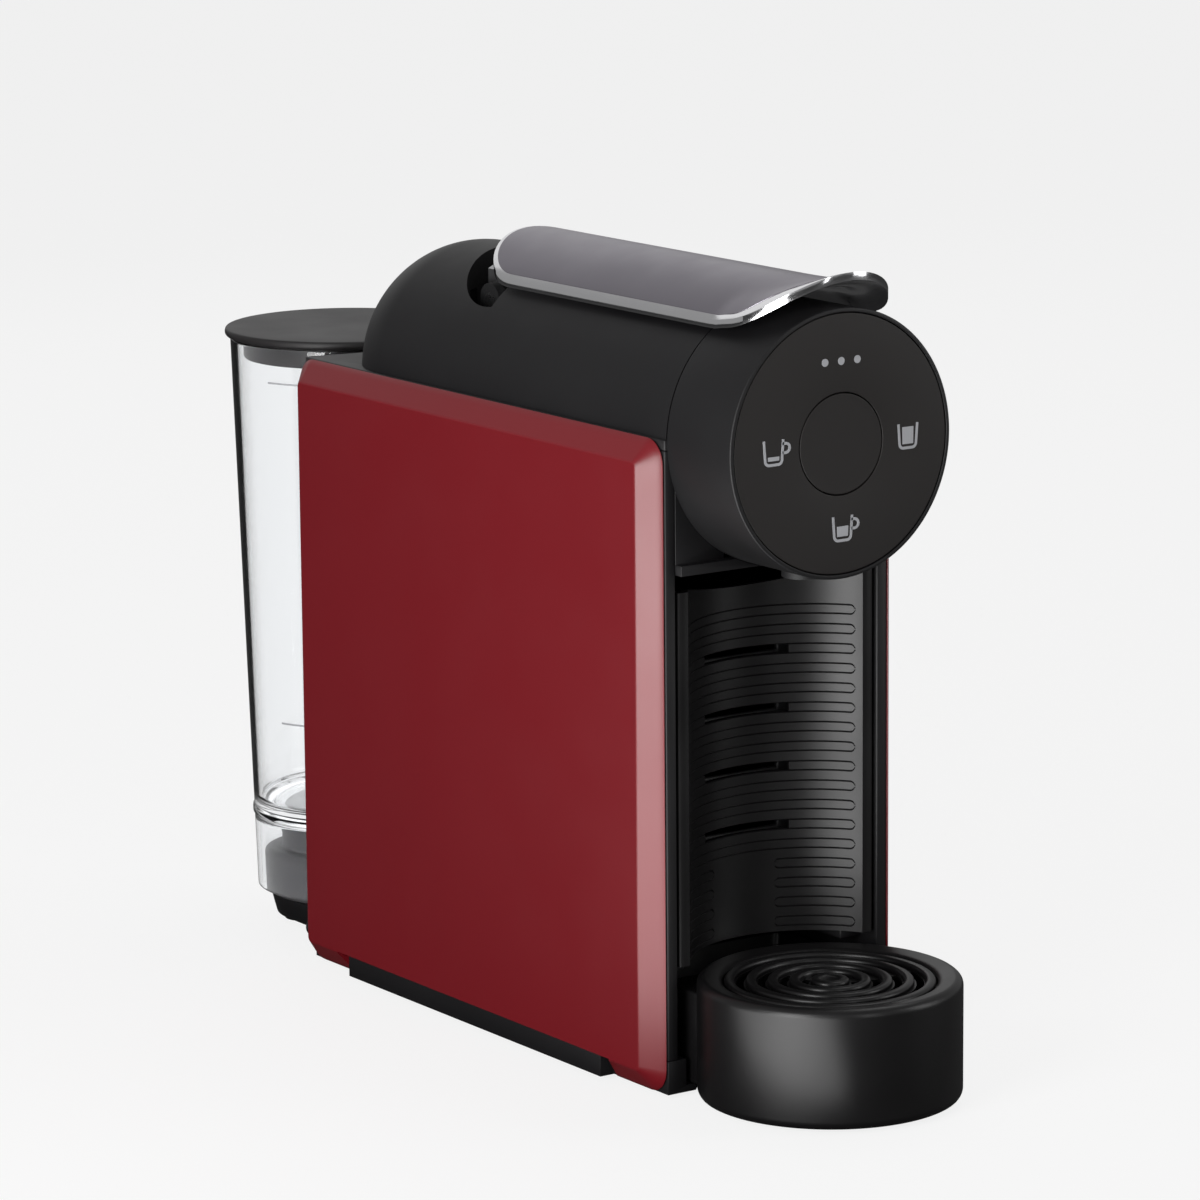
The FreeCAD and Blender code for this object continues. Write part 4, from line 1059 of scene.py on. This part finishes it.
class COFFEE_OT_stage(bpy.types.Operator):
    """Build the pale floor, the soft lights and the camera"""
    bl_idname = "coffee.stage"
    bl_label = "Stage"

    def execute(self, context):
        scene = context.scene
        mesh = bpy.data.meshes.new("pale_floor")
        corners = rectangle(-12, 12, -12, 12)
        mesh.from_pydata([(x, y, 0) for x, y in corners], [], [(0, 1, 2, 3)])
        floor = linked("pale_floor", mesh)
        # Mid-grey paper that looks white: its glow is for the camera alone, and lights nothing.
        paper, tree, shader, where = new_material("pale_paper")
        set_sockets(shader, Roughness=0.9, Specular_IOR_Level=0.1,
                    Base_Color=(*linear("646464"), 1), Emission_Color=(1, 1, 1, 1))
        tree.links.new(math_node(tree, "MULTIPLY", direct_view(tree), 0.84),
                       shader.inputs["Emission Strength"])
        mesh.materials.append(paper)
        # A white room to look at, but a dim one to be lit by, and a little brighter in reflections.
        world = bpy.data.worlds.new("soft_white_room")
        world.use_nodes = True
        tree = world.node_tree
        tree.nodes.clear()
        white = (1, 1, 1, 1)
        seen = add_node(tree, "ShaderNodeBackground", {"Color": white, "Strength": 1.0})
        mirrored = add_node(tree, "ShaderNodeLightPath").outputs["Is Glossy Ray"]
        level = math_node(tree, "MULTIPLY_ADD", mirrored, 0.17, 0.15)
        dim = add_node(tree, "ShaderNodeBackground", {"Color": white, "Strength": level})
        mix = add_node(tree, "ShaderNodeMixShader", {
            0: direct_view(tree), 1: dim.outputs[0], 2: seen.outputs[0]})
        add_node(tree, "ShaderNodeOutputWorld", {"Surface": mix.outputs[0]})
        scene.world = world
        middle = (0, 0, 0.12)
        softbox("left_softbox", (-0.85, -0.42, 0.3), middle, (0.42, 0.6), 7)
        softbox("low_left_softbox", (-0.62, -0.31, 0.01), (-0.45, -0.22, 1), (0.6, 0.7), 9.5)
        softbox("right_softbox", (1.1, -1.0, 0.5), middle, (0.5, 0.9), 4.5)
        softbox("strip_softbox", (-0.1, -1.9, 0.5), middle, (0.16, 1.3), 3)
        softbox("top_softbox", (0.5, 0.1, 1.4), middle, (0.8, 0.8), 3.4)
        softbox("back_softbox", (0.45, 1.4, 0.8), middle, (1.2, 0.9), 1.7)
        # The card only shows in reflections near the floor.
        card = softbox("near_card", (-0.3, -0.22, 0.008), (-0.28, -0.2, 1), (0.36, 0.4), 2.2)
        card.visible_diffuse = False
        camera = linked("camera", bpy.data.cameras.new("camera"))
        camera.data.lens = 164.6
        camera.data.sensor_width = 36
        camera.data.clip_end = 60
        # The camera's turn about the upright, its tilt down and its roll, in radians.
        turn, tilt, roll = 0.6028, 0.1989, -0.0085
        stand = Matrix.Translation((-0.9716, -1.42645, 0.4808))
        ahead = Vector((math.sin(turn) * math.cos(tilt), math.cos(turn) * math.cos(tilt), -math.sin(tilt)))
        right = Vector((math.cos(turn), -math.sin(turn), 0))
        aimed = Matrix((right, right.cross(ahead), -ahead)).transposed().to_4x4()
        camera.matrix_world = stand @ aimed @ Matrix.Rotation(roll, 4, "Z")
        scene.camera = camera
        scene.view_settings.view_transform = "Standard"
        return {"FINISHED"}


OPERATORS = (COFFEE_OT_panels, COFFEE_OT_head, COFFEE_OT_face, COFFEE_OT_lever, COFFEE_OT_drawer,
             COFFEE_OT_tray, COFFEE_OT_tank, COFFEE_OT_body, COFFEE_OT_works, COFFEE_OT_stage)


class COFFEE_PT_build(bpy.types.Panel):
    """Lists the pieces of the coffee machine"""
    bl_idname = "COFFEE_PT_build"
    bl_label = "Pod coffee machine"
    bl_space_type = "VIEW_3D"
    bl_region_type = "UI"
    bl_category = "Coffee"

    def draw(self, context):
        for group in (context.scene.coffee_sizes, context.scene.coffee_colours):
            for name in group.__annotations__:
                self.layout.prop(group, name)
        for operator in OPERATORS:
            self.layout.operator(operator.bl_idname)


CLASSES = (CoffeeSizes, CoffeeColours, *OPERATORS, COFFEE_PT_build)


def register():
    for item in CLASSES:
        bpy.utils.register_class(item)
    bpy.types.Scene.coffee_sizes = bpy.props.PointerProperty(type=CoffeeSizes)
    bpy.types.Scene.coffee_colours = bpy.props.PointerProperty(type=CoffeeColours)


def unregister():
    del bpy.types.Scene.coffee_colours
    del bpy.types.Scene.coffee_sizes
    for item in reversed(CLASSES):
        bpy.utils.unregister_class(item)


def main():
    register()
    for operator in OPERATORS:
        group, name = operator.bl_idname.split(".")
        getattr(getattr(bpy.ops, group), name)()


if __name__ == "__main__":
    main()
